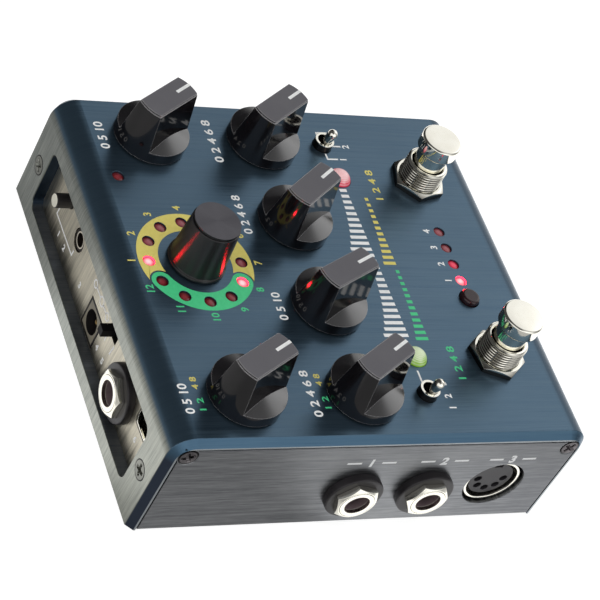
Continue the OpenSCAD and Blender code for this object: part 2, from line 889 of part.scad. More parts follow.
// Wedge of the knob's bar, cut from a round form by this profile along the pointer.
module bar_wedge(top_half, foot_half, from, to) {
    along_x(-2 * knob_r, 2 * knob_r)
        polygon([[-foot_half, from], [foot_half, from], [top_half, to], [-top_half, to]]);
}

// Pointer knob: round skirt, half-moon shoulders and a tapered bar with rounded ends.
module pointer_knob(p, turn) {
    bar_h = knob_h - cap_t;
    difference() {
        translate([p[0], p[1], case_h])
            rotate([0, 0, turn])
                difference() {
                    union() {
                        rotate_extrude()
                            polygon([
                                [0, knob_lift],
                                [knob_r, knob_lift],
                                [knob_r, skirt_h],
                                [0, skirt_h + shoulder_rise]
                            ]);
                        intersection() {
                            rotate_extrude()
                                polygon([
                                    [0, knob_lift],
                                    [knob_r, knob_lift],
                                    [knob_r, skirt_h],
                                    [bar_end_r, bar_h],
                                    [0, bar_h]
                                ]);
                            bar_wedge(bar_top, bar_foot, skirt_h, bar_h);
                        }
                        intersection() {
                            translate([0, 0, bar_h - tiny])
                                cylinder(r = bar_end_r - cap_inset, h = cap_t + tiny);
                            bar_wedge(bar_top - cap_inset, bar_top - cap_inset, bar_h - tiny, knob_h);
                        }
                    }
                    translate([line_from, -line_w / 2, knob_h - line_deep])
                        cube([knob_r, line_w, 1]);
                    translate([0, 0, -1])
                        cylinder(r = hollow_r, h = hollow_h + 1);
                }
        shaft(p, turn, push_gap);
    }
}

module delay_knob() { color(black) pointer_knob(knob_places[0], delay_turn); }
module mix_knob() { color(black) pointer_knob(knob_places[1], mix_turn); }
module feedback_knob() { color(black) pointer_knob(knob_places[2], feedback_turn); }
module tone_knob() { color(black) pointer_knob(knob_places[3], tone_turn); }
module first_control_knob() { color(black) pointer_knob(knob_places[4], first_turn); }
module second_control_knob() { color(black) pointer_knob(knob_places[5], second_turn); }

module encoder_body() {
    color([0.35, 0.42, 0.36])
        rotary_body(encoder_place, encoder_side);
}

module encoder_shaft() {
    color(nickel)
        shaft(encoder_place, 0, 0);
}

// Tapered round knob with a foot flange and a groove below its top plate.
module encoder_knob() {
    groove_z = knob_h - cap_t;
    foot_top = knob_lift + encoder_foot_h;
    color(black)
    difference() {
        translate([encoder_place[0], encoder_place[1], case_h])
            difference() {
                rotate_extrude()
                    polygon([
                        [0, knob_lift],
                        [encoder_foot_r, knob_lift],
                        [encoder_foot_r, foot_top],
                        [encoder_side_r, foot_top],
                        [encoder_top_r + encoder_groove, groove_z - encoder_groove],
                        [encoder_top_r - encoder_groove, groove_z - encoder_groove],
                        [encoder_top_r - encoder_groove, groove_z],
                        [encoder_top_r, groove_z],
                        [encoder_top_r, knob_h],
                        [0, knob_h]
                    ]);
                translate([0, 0, -1])
                    cylinder(r = hollow_r, h = hollow_h + 1);
            }
        shaft(encoder_place, 0, push_gap);
    }
}

// Small round light on the control board, its crown just below the panel surface.
module small_light(p) {
    top = case_h - light_sink;
    translate([p[0], p[1], 0])
        intersection() {
            translate([0, 0, control_z])
                cylinder(r = light_r, h = top - control_z);
            union() {
                translate([0, 0, top - light_dome_r])
                    sphere(light_dome_r);
                translate([0, 0, control_z - 1])
                    cylinder(r = light_r + 1, h = top - light_crown - control_z - 1);
            }
        }
}

module ring_lights() {
    color([0.5, 0.2, 0.22])
        for (i = [0:ring_count - 1])
            if (len(search(i, ring_lit)) == 0)
                small_light(ring_place(i));
}

module ring_lights_on() {
    color([1, 0.7, 0.75])
        for (i = ring_lit)
            small_light(ring_place(i));
}

module preset_lights() {
    color([0.5, 0.15, 0.16])
        for (i = [1:preset_count - 1])
            small_light([preset_x + i * preset_step, foot_y]);
}

module preset_light_on() {
    color([1, 0.6, 0.65])
        small_light([preset_x, foot_y]);
}

module peak_light() {
    color([0.45, 0.1, 0.1])
        small_light([peak_x, peak_y]);
}

// Domed lens that stands on the control board.
module status_light(sx) {
    translate([sx * foot_x, status_y, 0]) {
        translate([0, 0, control_z])
            cylinder(r = status_r, h = case_h - control_z);
        intersection() {
            translate([0, 0, case_h + status_h - status_dome_r])
                sphere(status_dome_r);
            translate([0, 0, case_h - tiny])
                cylinder(r = status_r, h = status_h + 1);
        }
    }
}

module left_status_light() { color([0.8, 1, 0.85]) status_light(-1); }
module right_status_light() { color([1, 0.7, 0.75]) status_light(1); }

module at_footswitches() {
    for (sx = [-1, 1])
        translate([sx * foot_x, foot_y, 0])
            children();
}

module footswitch_bodies() {
    well = flange_h + plunger_travel + 1;
    color([0.1, 0.12, 0.2])
        at_footswitches()
            difference() {
                translate([-foot_body / 2, -foot_body / 2, under_top - foot_body_h])
                    cube([foot_body, foot_body, foot_body_h]);
                translate([0, 0, under_top - well])
                    cylinder(r = flange_r + run_gap, h = well + 1);
            }
}

module footswitch_bushings() {
    color(nickel)
        at_footswitches()
            translate([0, 0, under_top])
                difference() {
                    cylinder(r = foot_bush_r, h = top_wall + foot_bush_h);
                    translate([0, 0, -1])
                        cylinder(r = stem_r + run_gap, h = top_wall + foot_bush_h + 2);
                }
}

module footswitch_nuts() {
    color(nickel)
        for (sx = [-1, 1])
            translate([sx * foot_x, foot_y, case_h])
                rotate([0, 0, sx < 0 ? left_nut_turn : right_nut_turn])
                    difference() {
                        cylinder(r = foot_nut_r, h = foot_nut_h, $fn = 6);
                        translate([0, 0, -1])
                            cylinder(r = foot_bush_r + sleeve_gap, h = foot_nut_h + 2);
                    }
}

// Plunger: retaining flange, stem and bevelled cap in one turned piece.
module plunger(sx) {
    top = case_h + plunger_h;
    cap = top - plunger_cap_h;
    translate([sx * foot_x, foot_y, 0])
        rotate_extrude()
            polygon([
                [0, stem_foot],
                [flange_r, stem_foot],
                [flange_r, stem_foot + flange_h],
                [stem_r, stem_foot + flange_h],
                [stem_r, cap],
                [plunger_r - plunger_bevel / 2, cap],
                [plunger_r, cap + plunger_bevel / 2],
                [plunger_r, top - plunger_bevel],
                [plunger_r - plunger_bevel, top],
                [0, top]
            ]);
}

module left_plunger() { color(nickel) plunger(-1); }
module right_plunger() { color(nickel) plunger(1); }

module toggle_bodies() {
    color([0.1, 0.2, 0.45])
        for (sx = [-1, 1])
            translate([sx * toggle_x, toggle_y, control_z])
                difference() {
                    translate([-toggle_body_x / 2, -toggle_body_y / 2, 0])
                        cube([toggle_body_x, toggle_body_y, control_space]);
                    translate([0, 0, control_space / 3])
                        cylinder(r = toggle_bush_r, h = control_space);
                }
}

// Bushing whose bore widens upwards from the pivot to let the lever swing.
module toggle_bushings() {
    color(nickel)
        for (sx = [-1, 1])
            translate([sx * toggle_x, toggle_y, 0])
                difference() {
                    translate([0, 0, under_top])
                        cylinder(r = toggle_bush_r, h = top_wall + toggle_bush_h);
                    translate([0, 0, under_top - 1])
                        cylinder(r = toggle_bore_r, h = top_wall + 1 - toggle_pivot + tiny);
                    translate([0, 0, pivot_z])
                        cylinder(r1 = toggle_bore_r, r2 = toggle_mouth_r, h = toggle_rise);
                    translate([0, 0, pivot_z + toggle_rise - tiny])
                        cylinder(r = toggle_mouth_r, h = 1);
                }
}

// Lever on its ball, leaning to the left stop.
module toggle_lever(sx) {
    tip = toggle_tip_h + toggle_pivot;
    translate([sx * toggle_x, toggle_y, pivot_z])
        rotate([0, -toggle_lean, 0]) {
            sphere(toggle_ball_r);
            cylinder(r1 = toggle_neck_r, r2 = toggle_tip_r, h = tip - toggle_tip_r);
            translate([0, 0, tip - toggle_tip_r])
                sphere(toggle_tip_r);
        }
}

module left_toggle_lever() { color(nickel) toggle_lever(-1); }
module right_toggle_lever() { color(nickel) toggle_lever(1); }

module select_switch() {
    color(black)
        translate([select_x - tact_side / 2, foot_y - tact_side / 2, control_z])
            cube([tact_side, tact_side, tact_h]);
}

// Round button with a rounded top edge and a flange that keeps it under the panel.
module select_button() {
    top = case_h + select_h;
    flange_top = under_top - button_gap;
    color([0.2, 0.1, 0.11])
        translate([select_x, foot_y, 0]) {
            translate([0, 0, select_foot])
                cylinder(r = select_flange_r, h = flange_top - select_foot);
            translate([0, 0, select_foot])
                cylinder(r = select_r, h = top - select_round - select_foot);
            translate([0, 0, top - select_round])
                rotate_extrude() {
                    square([select_r - select_round, select_round]);
                    intersection() {
                        translate([select_r - select_round, 0])
                            circle(select_round);
                        square([select_r, select_round]);
                    }
                }
        }
}

module push_switch() {
    well = socket_l - push_back;
    color(black)
        on_rear(push_x, push_z)
            difference() {
                translate([-push_side / 2, -push_side / 2, -panel_t - socket_l])
                    cube([push_side, push_side, socket_l]);
                translate([0, 0, -panel_t - well])
                    cylinder(r = push_r + button_gap, h = well + 1);
            }
}

module push_button() {
    back = socket_l - push_back - push_travel - button_gap;
    tip_bevel = 0.3;
    color(black)
        on_rear(push_x, push_z) {
            translate([0, 0, -panel_t - back])
                cylinder(r = push_r, h = panel_t + back + push_out - tip_bevel);
            translate([0, 0, push_out - tip_bevel])
                cylinder(r1 = push_r, r2 = push_r - tip_bevel, h = tip_bevel);
        }
}

module slide_switch() {
    well = socket_l / 2;
    color([0.3, 0.3, 0.32])
        on_rear(slide_slot_x, slide_z)
            difference() {
                translate([-slide_slot_w / 2 - slide_rim, -slide_slot_t / 2 - slide_rim, -panel_t - socket_l])
                    cube([slide_slot_w + 2 * slide_rim, slide_slot_t + 2 * slide_rim, socket_l]);
                translate([-slide_slot_w / 2, -slide_slot_t / 2, -panel_t - well])
                    cube([slide_slot_w, slide_slot_t, well + 1]);
            }
}

module slide_lever() {
    back = socket_l / 2 - button_gap;
    color(black)
        on_rear(slide_x, slide_z)
            translate([-slide_w / 2, -slide_t / 2, -panel_t - back])
                cube([slide_w, slide_t, panel_t + back + slide_out]);
}

// Jack behind a wall of thickness t: body, threaded sleeve and plug bore.
module jack_body(t) {
    difference() {
        union() {
            translate([-jack_body_w / 2, -jack_body_h / 2, -t - jack_body_l])
                cube([jack_body_w, jack_body_h, jack_body_l]);
            translate([0, 0, -t - 1])
                cylinder(r = jack_sleeve_r, h = t + 1 + jack_collar_t + jack_nut_t);
        }
        translate([0, 0, -jack_bore_l])
            cylinder(r = jack_bore_r, h = jack_bore_l + jack_collar_t + jack_nut_t + 1);
    }
}

module jack_bodies() {
    color(black)
        at_jacks() {
            jack_body(plate_t);
            jack_body(panel_t);
        }
}

module jack_collar() {
    difference() {
        cylinder(r = jack_collar_r, h = jack_collar_t);
        translate([0, 0, -1])
            cylinder(r = jack_sleeve_r + sleeve_gap, h = jack_collar_t + 2);
    }
}

module jack_collars() {
    color([0.1, 0.09, 0.11])
        at_jacks() {
            jack_collar();
            jack_collar();
        }
}

// Hex nut with turned-off outer corners.
module jack_nut() {
    corner = jack_nut_af / (2 * cos(30));
    translate([0, 0, jack_collar_t])
        difference() {
            intersection() {
                hex(jack_nut_af, jack_nut_t);
                union() {
                    cylinder(r = corner + 1, h = jack_nut_t - jack_nut_bevel);
                    translate([0, 0, jack_nut_t - jack_nut_bevel - tiny])
                        cylinder(r1 = corner, r2 = corner - 1.6 * jack_nut_bevel, h = jack_nut_bevel + tiny);
                }
            }
            translate([0, 0, -1])
                cylinder(r = jack_sleeve_r + sleeve_gap, h = jack_nut_t + 2);
        }
}

module jack_nuts() {
    color(nickel)
        at_jacks() {
            jack_nut();
            jack_nut();
        }
}

module at_din() {
    for (side = [-1, 1])
        on_end(side, din_y, din_z)
            translate([0, 0, -plate_t])
                children();
}

// Five pin holes on the lower half circle, a keyway at the top and a groove for the shield.
module din_bodies() {
    color([0.22, 0.22, 0.24])
        at_din()
            difference() {
                translate([-din_side / 2, -din_side / 2, -din_l])
                    cube([din_side, din_side, din_l]);
                translate([0, 0, -din_shield_l])
                    difference() {
                        cylinder(r = din_shield_r + push_gap, h = din_shield_l + 1);
                        translate([0, 0, -1])
                            cylinder(r = din_shield_r - din_shield_t - push_gap, h = din_shield_l + 3);
                    }
                for (a = [0:45:180])
                    translate([-din_pin_circle * sin(a), din_pin_circle * cos(a), -din_pin_l])
                        cylinder(r = din_pin_r, h = din_pin_l + 1);
                translate([din_pin_circle + din_key / 2, -din_key / 2, -din_shield_l])
                    cube([din_key, din_key, din_shield_l + 1]);
            }
}

module din_shields() {
    color(nickel)
        at_din()
            translate([0, 0, -din_shield_l])
                difference() {
                    cylinder(r = din_shield_r, h = din_shield_l + din_shield_out);
                    translate([0, 0, -1])
                        cylinder(r = din_shield_r - din_shield_t, h = din_shield_l + din_shield_out + 2);
                }
}

module mini_jack() {
    color(nickel)
        on_rear(mini_x, mini_z)
            difference() {
                union() {
                    translate([-mini_side / 2, -mini_side / 2, -panel_t - socket_l])
                        cube([mini_side, mini_side, socket_l]);
                    translate([0, 0, -panel_t - 1])
                        cylinder(r = mini_nose_r, h = panel_t + 1 - nose_sink);
                }
                translate([0, 0, -panel_t - mini_bore_l])
                    cylinder(r = mini_bore_r, h = mini_bore_l + panel_t);
            }
}

module power_socket() {
    color(black)
        on_rear(power_x, power_z)
            difference() {
                translate([-power_side / 2, -power_side / 2, -panel_t - socket_l])
                    cube([power_side, power_side, panel_t + socket_l]);
                translate([0, 0, -power_bore_l])
                    cylinder(r = power_bore_r, h = power_bore_l + 1);
            }
}

module power_pin() {
    pin_sink = 1;
    color(nickel)
        on_rear(power_x, power_z)
            translate([0, 0, -power_bore_l]) {
                cylinder(r = power_pin_r, h = power_bore_l - pin_sink - power_pin_r);
                translate([0, 0, power_bore_l - pin_sink - power_pin_r])
                    sphere(power_pin_r);
            }
}

// Outline of the data socket: flat top, lower corners sloped in.
module data_outline(w, h) {
    polygon([
        [-w / 2, -h / 2],
        [w / 2, -h / 2],
        [w / 2, h / 2 - 2 * data_slope],
        [w / 2 - data_slope, h / 2],
        [data_slope - w / 2, h / 2],
        [-w / 2, h / 2 - 2 * data_slope]
    ]);
}

// Sheet shell with a back wall and the tongue that carries the contacts.
module data_socket() {
    back = 2;
    color(nickel)
        on_rear(data_x, data_z)
            translate([0, 0, -panel_t - socket_l]) {
                difference() {
                    linear_extrude(socket_l + panel_t - 0.1)
                        data_outline(data_w, data_h);
                    translate([0, 0, back])
                        linear_extrude(socket_l + panel_t)
                            data_outline(data_w - 2 * data_wall, data_h - 2 * data_wall);
                }
                translate([-data_w / 4, -data_tongue, back - tiny])
                    cube([data_w / 2, data_tongue, socket_l - back]);
            }
}

shell();
base_tray();
end_screws();
connector_panel();
panel_screws();
control_board();
main_board();
connector_board();
board_supports();
stacking_header();
board_chips();
pot_bodies();
control_nuts();
delay_shaft();
mix_shaft();
feedback_shaft();
tone_shaft();
first_control_shaft();
second_control_shaft();
delay_knob();
mix_knob();
feedback_knob();
tone_knob();
first_control_knob();
second_control_knob();
encoder_body();
encoder_shaft();
encoder_knob();
ring_lights();
ring_lights_on();
preset_lights();
preset_light_on();
peak_light();
left_status_light();
right_status_light();
footswitch_bodies();
footswitch_bushings();
footswitch_nuts();
left_plunger();
right_plunger();
toggle_bodies();
toggle_bushings();
left_toggle_lever();
right_toggle_lever();
select_switch();
select_button();
push_switch();
push_button();
slide_switch();
slide_lever();
jack_bodies();
jack_collars();
jack_nuts();
din_bodies();
din_shields();
mini_jack();
power_socket();
power_pin();
data_socket();
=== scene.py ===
import bpy
import bmesh
import json
import math
import numpy as np
from mathutils import Matrix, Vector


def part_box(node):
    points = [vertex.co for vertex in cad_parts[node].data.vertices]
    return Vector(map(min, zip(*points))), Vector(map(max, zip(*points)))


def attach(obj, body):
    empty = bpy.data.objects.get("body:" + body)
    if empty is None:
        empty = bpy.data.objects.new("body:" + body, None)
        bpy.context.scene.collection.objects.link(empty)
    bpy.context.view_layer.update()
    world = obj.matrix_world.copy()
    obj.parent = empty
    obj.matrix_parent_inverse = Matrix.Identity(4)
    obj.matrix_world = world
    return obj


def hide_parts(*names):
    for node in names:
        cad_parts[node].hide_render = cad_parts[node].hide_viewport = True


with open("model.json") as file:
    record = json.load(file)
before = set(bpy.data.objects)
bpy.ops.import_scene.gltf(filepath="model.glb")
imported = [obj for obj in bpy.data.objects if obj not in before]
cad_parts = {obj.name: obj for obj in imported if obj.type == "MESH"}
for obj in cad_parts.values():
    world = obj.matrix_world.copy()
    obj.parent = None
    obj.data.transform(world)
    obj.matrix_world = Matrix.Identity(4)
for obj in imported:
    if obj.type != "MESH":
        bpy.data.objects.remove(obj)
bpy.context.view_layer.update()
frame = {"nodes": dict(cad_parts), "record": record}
nodes = frame["nodes"]
mm = 0.001
tau = 2 * math.pi
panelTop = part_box("shell")[1].z / mm  # height of the top panel
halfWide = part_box("base_tray")[1].x / mm  # outer face of either end
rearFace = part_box("connector_panel")[1].y / mm  # outer face of the recessed panel
print("stage: frame loaded,", len(nodes), "nodes")


# shapes: arrays of vertices in millimetres, with arrays of faces

def middle(node):
    # middle of a node's box, in millimetres
    low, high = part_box(node)
    return (np.array(low) + np.array(high)) / 2 / mm


def unit(ways):
    # directions as long as one
    return ways / np.maximum(np.linalg.norm(ways, axis=-1, keepdims=True), 1e-9)


def around(steps):
    # angles once round a circle
    return np.arange(steps) * tau / steps


def gridFaces(rows, cols, closed=False):
    # quads between neighbouring rows and columns; closed joins the last column to the first
    i = np.arange(rows - 1)[:, None]
    j = np.arange(cols if closed else cols - 1)[None, :]
    ahead = (j + 1) % cols
    corners = (i * cols + j, i * cols + ahead, (i + 1) * cols + ahead, (i + 1) * cols + j)
    return np.stack(np.broadcast_arrays(*corners), -1).reshape(-1, 4)


def stacked(steps, *rows):
    # single values, rings of values and whole grids as the rows of one grid
    grids = [np.atleast_2d(row) for row in rows]
    return np.concatenate([np.broadcast_to(grid, (len(grid), steps)) for grid in grids])


def revolve(radius, height):
    # each row is a closed ring: x = r cos a, y = r sin a, z = h, for a going once round
    angle = around(radius.shape[1])
    verts = np.stack([radius * np.cos(angle), radius * np.sin(angle), height], -1)
    return verts.reshape(-1, 3), gridFaces(*radius.shape, closed=True)


def lathe(profile, steps):
    # profile of radius and height turned once round the Z axis
    return revolve(stacked(steps, profile[:, :1]), stacked(steps, profile[:, 1:]))


def rounded(path, steps=4):
    # path of radius, height and rounding: a corner becomes a parabola arc that starts and ends
    # its rounding away from it
    path = np.array(path, float)
    p, reach = path[:, :2], path[:, 2:]
    ends = []
    for shift in (1, -1):
        ends.append((p + unit(np.roll(p, shift, 0) - p) * reach)[:, None])
    t = np.linspace(0, 1, steps + 1)[None, :, None]
    arcs = (1 - t) ** 2 * ends[0] + 2 * t * (1 - t) * p[:, None] + t ** 2 * ends[1]
    return arcs.reshape(-1, 2)


def blockShape(low, high):
    # rectangle in y and z carried along x, with both ends drawn to a point
    (x0, y0, z0), (x1, y1, z1) = low, high
    y, z = np.array([y0, y1, y1, y0]), np.array([z0, z0, z1, z1])
    cy, cz = y.mean() + 0 * y, z.mean() + 0 * z
    rows = [(x0, cy, cz), (x0, y, z), (x1, y, z), (x1, cy, cz)]
    verts = np.concatenate([np.stack([np.full(4, x), yy, zz], -1) for x, yy, zz in rows])
    return verts, gridFaces(4, 4, closed=True)


def joined(*shapes):
    # several vertex and face arrays as one
    starts = np.cumsum([0] + [len(v) for v, f in shapes])
    faces = [f + s for (v, f), s in zip(shapes, starts)]
    return np.concatenate([v for v, f in shapes]), faces


def turned(shape, axes, place):
    # local x, y and z laid along three given directions, then moved to a place
    verts, faces = shape
    return verts @ np.array(axes, float) + np.array(place, float), faces


def spun(shape, degrees):
    # turned about its own Z axis
    c, s = math.cos(math.radians(degrees)), math.sin(math.radians(degrees))
    return turned(shape, ((c, s, 0), (-s, c, 0), (0, 0, 1)), (0, 0, 0))


def copies(shape, places, turns=None):
    # one shape at several places, each with the axes it stands on, and turned about its own axis
    turns = turns or [0] * len(places)
    return joined(*[turned(spun(shape, turn), *spot) for spot, turn in zip(places, turns)])


# local x, y and z of what stands on the top, on either end and on the rear
upright = ((1, 0, 0), (0, 1, 0), (0, 0, 1))
outLeft = ((0, -1, 0), (0, 0, 1), (-1, 0, 0))
outRight = ((0, 1, 0), (0, 0, 1), (1, 0, 0))
outRear = ((-1, 0, 0), (0, 0, 1), (0, 1, 0))


def linked(name, data):
    # object for a mesh, a curve, a lamp or a camera, in the scene
    thing = bpy.data.objects.new(name, data)
    bpy.context.scene.collection.objects.link(thing)
    return thing


def meshPiece(name, shape, material, stands=(), body="chassis", crease=35, outward=True, share=None):
    # arrays become a mesh with closed seams, outward faces and its place in its vertices;
    # share is a number for each vertex of one copy, which the material reads
    verts, faces = shape
    faces = faces if isinstance(faces, list) else [faces]
    mesh = bpy.data.meshes.new(name)
    mesh.from_pydata((verts * mm).tolist(), [], sum([f.tolist() for f in faces], []))
    if share is not None:
        stored = mesh.attributes.new("share", "FLOAT", "POINT")
        stored.data.foreach_set("value", np.resize(share, len(verts)).astype(np.float32))
    work = bmesh.new()
    work.from_mesh(mesh)
    bmesh.ops.remove_doubles(work, verts=work.verts, dist=2e-7)
    bmesh.ops.dissolve_degenerate(work, edges=work.edges, dist=1e-7)
    if outward:
        bmesh.ops.recalc_face_normals(work, faces=work.faces)
    work.to_mesh(mesh)
    work.free()
    mesh.polygons.foreach_set("use_smooth", np.ones(len(mesh.polygons), bool))
    mesh.set_sharp_from_angle(angle=math.radians(crease))
    mesh.materials.append(material)
    piece = linked(name, mesh)
    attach(piece, body)
    if stands:
        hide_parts(*stands)
    return piece


def softEdges(piece, width, angle):
    # small round along edges sharper than an angle
    bevel = piece.modifiers.new("softEdges", "BEVEL")
    bevel.width = width * mm
    bevel.segments = 2
    bevel.limit_method = "ANGLE"
    bevel.angle_limit = math.radians(angle)
    bevel.harden_normals = True


# shared shader effects

class Graph:
    # node tree of a material, a group or the world, with a short call for each kind of node

    def __init__(self, tree):
        self.tree = tree

    def fill(self, node, **inputs):
        # sockets by name, or by number as i0, i1; an output is linked and a number is set
        for key, value in inputs.items():
            byNumber = key[0] == "i" and key[1:].isdigit()
            socket = node.inputs[int(key[1:]) if byNumber else key.replace("_", " ")]
            if isinstance(value, bpy.types.NodeSocket):
                self.tree.links.new(value, socket)
            else:
                socket.default_value = value
        return node

    def add(self, kind, settings=None, **inputs):
        node = self.tree.nodes.new("ShaderNode" + kind)
        for key, value in (settings or {}).items():
            setattr(node, key, value)
        return self.fill(node, **inputs)

    def sums(self, kind, first, second=0.0):
        return self.add("Math", {"operation": kind}, i0=first, i1=second).outputs[0]

    def plus(self, first, second):
        return self.sums("ADD", first, second)

    def minus(self, first, second):
        return self.sums("SUBTRACT", first, second)

    def times(self, first, second):
        return self.sums("MULTIPLY", first, second)

    def most(self, first, second):
        return self.sums("MAXIMUM", first, second)

    def dot(self, first, second):
        return self.add("VectorMath", {"operation": "DOT_PRODUCT"}, i0=first, i1=second).outputs["Value"]

    def mix(self, factor, first, second):
        return self.add("Mix", {"data_type": "RGBA"}, i0=factor, i6=first, i7=second).outputs[2]

    def mixNumbers(self, factor, first, second):
        return self.add("Mix", {"data_type": "FLOAT"}, i0=factor, i2=first, i3=second).outputs[0]

    def parted(self, mask, value, inner, outer):
        # two pairs of colours, each mixed by a value, on either side of a mask
        return self.mix(mask, self.mix(value, *inner), self.mix(value, *outer))

    def spread(self, value, fromMin, fromMax, toMin=0.0, toMax=1.0, smooth=False):
        kind = {"interpolation_type": "SMOOTHSTEP" if smooth else "LINEAR"}
        return self.add("MapRange", kind, i0=value, i1=fromMin, i2=fromMax, i3=toMin, i4=toMax).outputs[0]

    def ramp(self, value, low, high):
        # share from 0 to 1 as a level between two others
        return self.spread(value, 0.0, 1.0, low, high)

    def zone(self, value, limits, smooth=False):
        # mask that comes on from the first limit to the second, in millimetres
        return self.spread(value, limits[0] * mm, limits[1] * mm, smooth=smooth)

    def noise(self, vector, scale, **more):
        return self.add("TexNoise", None, Vector=vector, Scale=scale, **more).outputs[0]

    def place(self):
        # point on the object, in metres
        return self.add("TexCoord").outputs["Object"]

    def axes(self, vector=None):
        return self.add("SeparateXYZ", None, Vector=vector or self.place()).outputs

    def normal(self):
        return self.add("NewGeometry").outputs["Normal"]

    def share(self):
        # number stored with the mesh
        return self.add("Attribute", {"attribute_name": "share"}).outputs["Fac"]

    def rays(self):
        # whether the camera looks, and whether a mirror or a clear piece looks
        path = self.add("LightPath").outputs
        return path["Is Camera Ray"], self.plus(path["Is Glossy Ray"], path["Is Transmission Ray"])

    def cone(self, ray, aim, outer, inner, low, high):
        # level that goes from low to high as a ray comes from the outer to the inner half angle about an aim
        limits = math.cos(math.radians(outer)), math.cos(math.radians(inner))
        return self.spread(self.dot(ray, aim), *limits, low, high, smooth=True)

    def grain(self, scale, contrast):
        vector = self.add("Mapping", None, Vector=self.place(), Scale=scale).outputs[0]
        used = self.add("Group", {"node_tree": grainGroup}, Vector=vector, Contrast=contrast).outputs
        return used["Streak"], used["Height"]

    def marks(self, size):
        used = self.add("Group", {"node_tree": marksGroup}, Vector=self.place(), Size=size).outputs
        return used["Patch"], used["Speck"]


def startGroup(name, inputs, outputs):
    group = bpy.data.node_groups.new(name, "ShaderNodeTree")
    for label, kind in inputs.items():
        group.interface.new_socket(name=label, in_out="INPUT", socket_type="NodeSocket" + kind)
    for label in outputs:
        group.interface.new_socket(name=label, in_out="OUTPUT", socket_type="NodeSocketFloat")
    start, end = group.nodes.new("NodeGroupInput"), group.nodes.new("NodeGroupOutput")
    return Graph(group), start.outputs, end


effect = {
    "fineShare": 0.62, "slowShare": 0.38, "slowScale": 0.23,  # brushed streaks
    "patch": (0.32, 0.68), "speckScale": 9000.0,  # marks of handling
}


def brushedGrain():
    # long thin streaks: fine noise on a stretched vector, with a slower one that groups them
    inputs = {"Vector": "Vector", "Contrast": "Float"}
    graph, start, end = startGroup("brushedGrain", inputs, ("Streak", "Height"))
    fine = graph.noise(start["Vector"], 1.0, Detail=3.0, Roughness=0.65)
    slow = graph.noise(start["Vector"], effect["slowScale"], Detail=2.0)
    both = graph.plus(graph.times(fine, effect["fineShare"]), graph.times(slow, effect["slowShare"]))
    streak = graph.plus(graph.times(graph.minus(both, 0.5), start["Contrast"]), 0.5)
    graph.fill(end, Streak=streak, Height=fine)
    return graph.tree


def handlingMarks():
    # soft cloudy patches, as from wiping and touch, and fine specks
    inputs = {"Vector": "Vector", "Size": "Float"}
    graph, start, end = startGroup("handlingMarks", inputs, ("Patch", "Speck"))
    broad = graph.noise(start["Vector"], start["Size"], Detail=4.0, Roughness=0.6)
    speck = graph.noise(start["Vector"], effect["speckScale"], Detail=2.0)
    graph.fill(end, Patch=graph.spread(broad, *effect["patch"]), Speck=speck)
    return graph.tree


grainGroup, marksGroup = brushedGrain(), handlingMarks()


class Finish(Graph):
    # material whose fixed numbers go straight on the shader's own sockets

    def __init__(self, name, **fixed):
        self.material = bpy.data.materials.new(name)
        self.material.use_nodes = True
        super().__init__(self.material.node_tree)
        self.shader = self.tree.nodes["Principled BSDF"]
        self.paint(**fixed)

    def paint(self, **sockets):
        self.fill(self.shader, **sockets)

    def bump(self, height, distance, strength, edge=0.0):
        # relief from a height; edge is the radius of the round that edges show
        node = self.add("Bump", None, Strength=strength, Distance=distance, Height=height)
        if edge:
            self.fill(node, Normal=self.add("Bevel", {"samples": 6}, Radius=edge).outputs[0])
        self.paint(Normal=node.outputs[0])

    def patchy(self, kind, rough=None):
        # cloudy gloss over fine specks; hands the patches back for the colour
        size, depth, strength, edge = texture[kind]
        patch, speck = self.marks(size)
        if rough:
            self.paint(Roughness=self.ramp(patch, *rough))
        self.bump(speck, depth, strength, edge)
        return patch


texture = {  # patches per metre, depth of the specks, strength of the relief, rounding of edges; metres
    "plating": (220.0, 0.000004, 0.3, 0.0001),
    "thread": (220.0, 0.000004, 0.3, 0.0),
    "moulding": (150.0, 0.00001, 0.5, 0.00012),
    "coarse": (150.0, 0.00002, 0.5, 0.00012),
    "ink": (900.0, 0.000006, 0.4, 0.0),
    "screw": (500.0, 0.000008, 0.4, 0.0),
    "masked": (260.0, 0.00001, 0.4, 0.0001),
}


def srgb(*values):
    # display colour out of 255 to the linear colour of a socket
    c = np.array(values, float) / 255
    c = np.where(c <= 0.04045, c / 12.92, ((c + 0.055) / 1.055) ** 2.4)
    return (*c.tolist(), 1.0)


def shades(*values):
    # two display colours
    return srgb(*values[:3]), srgb(*values[3:])


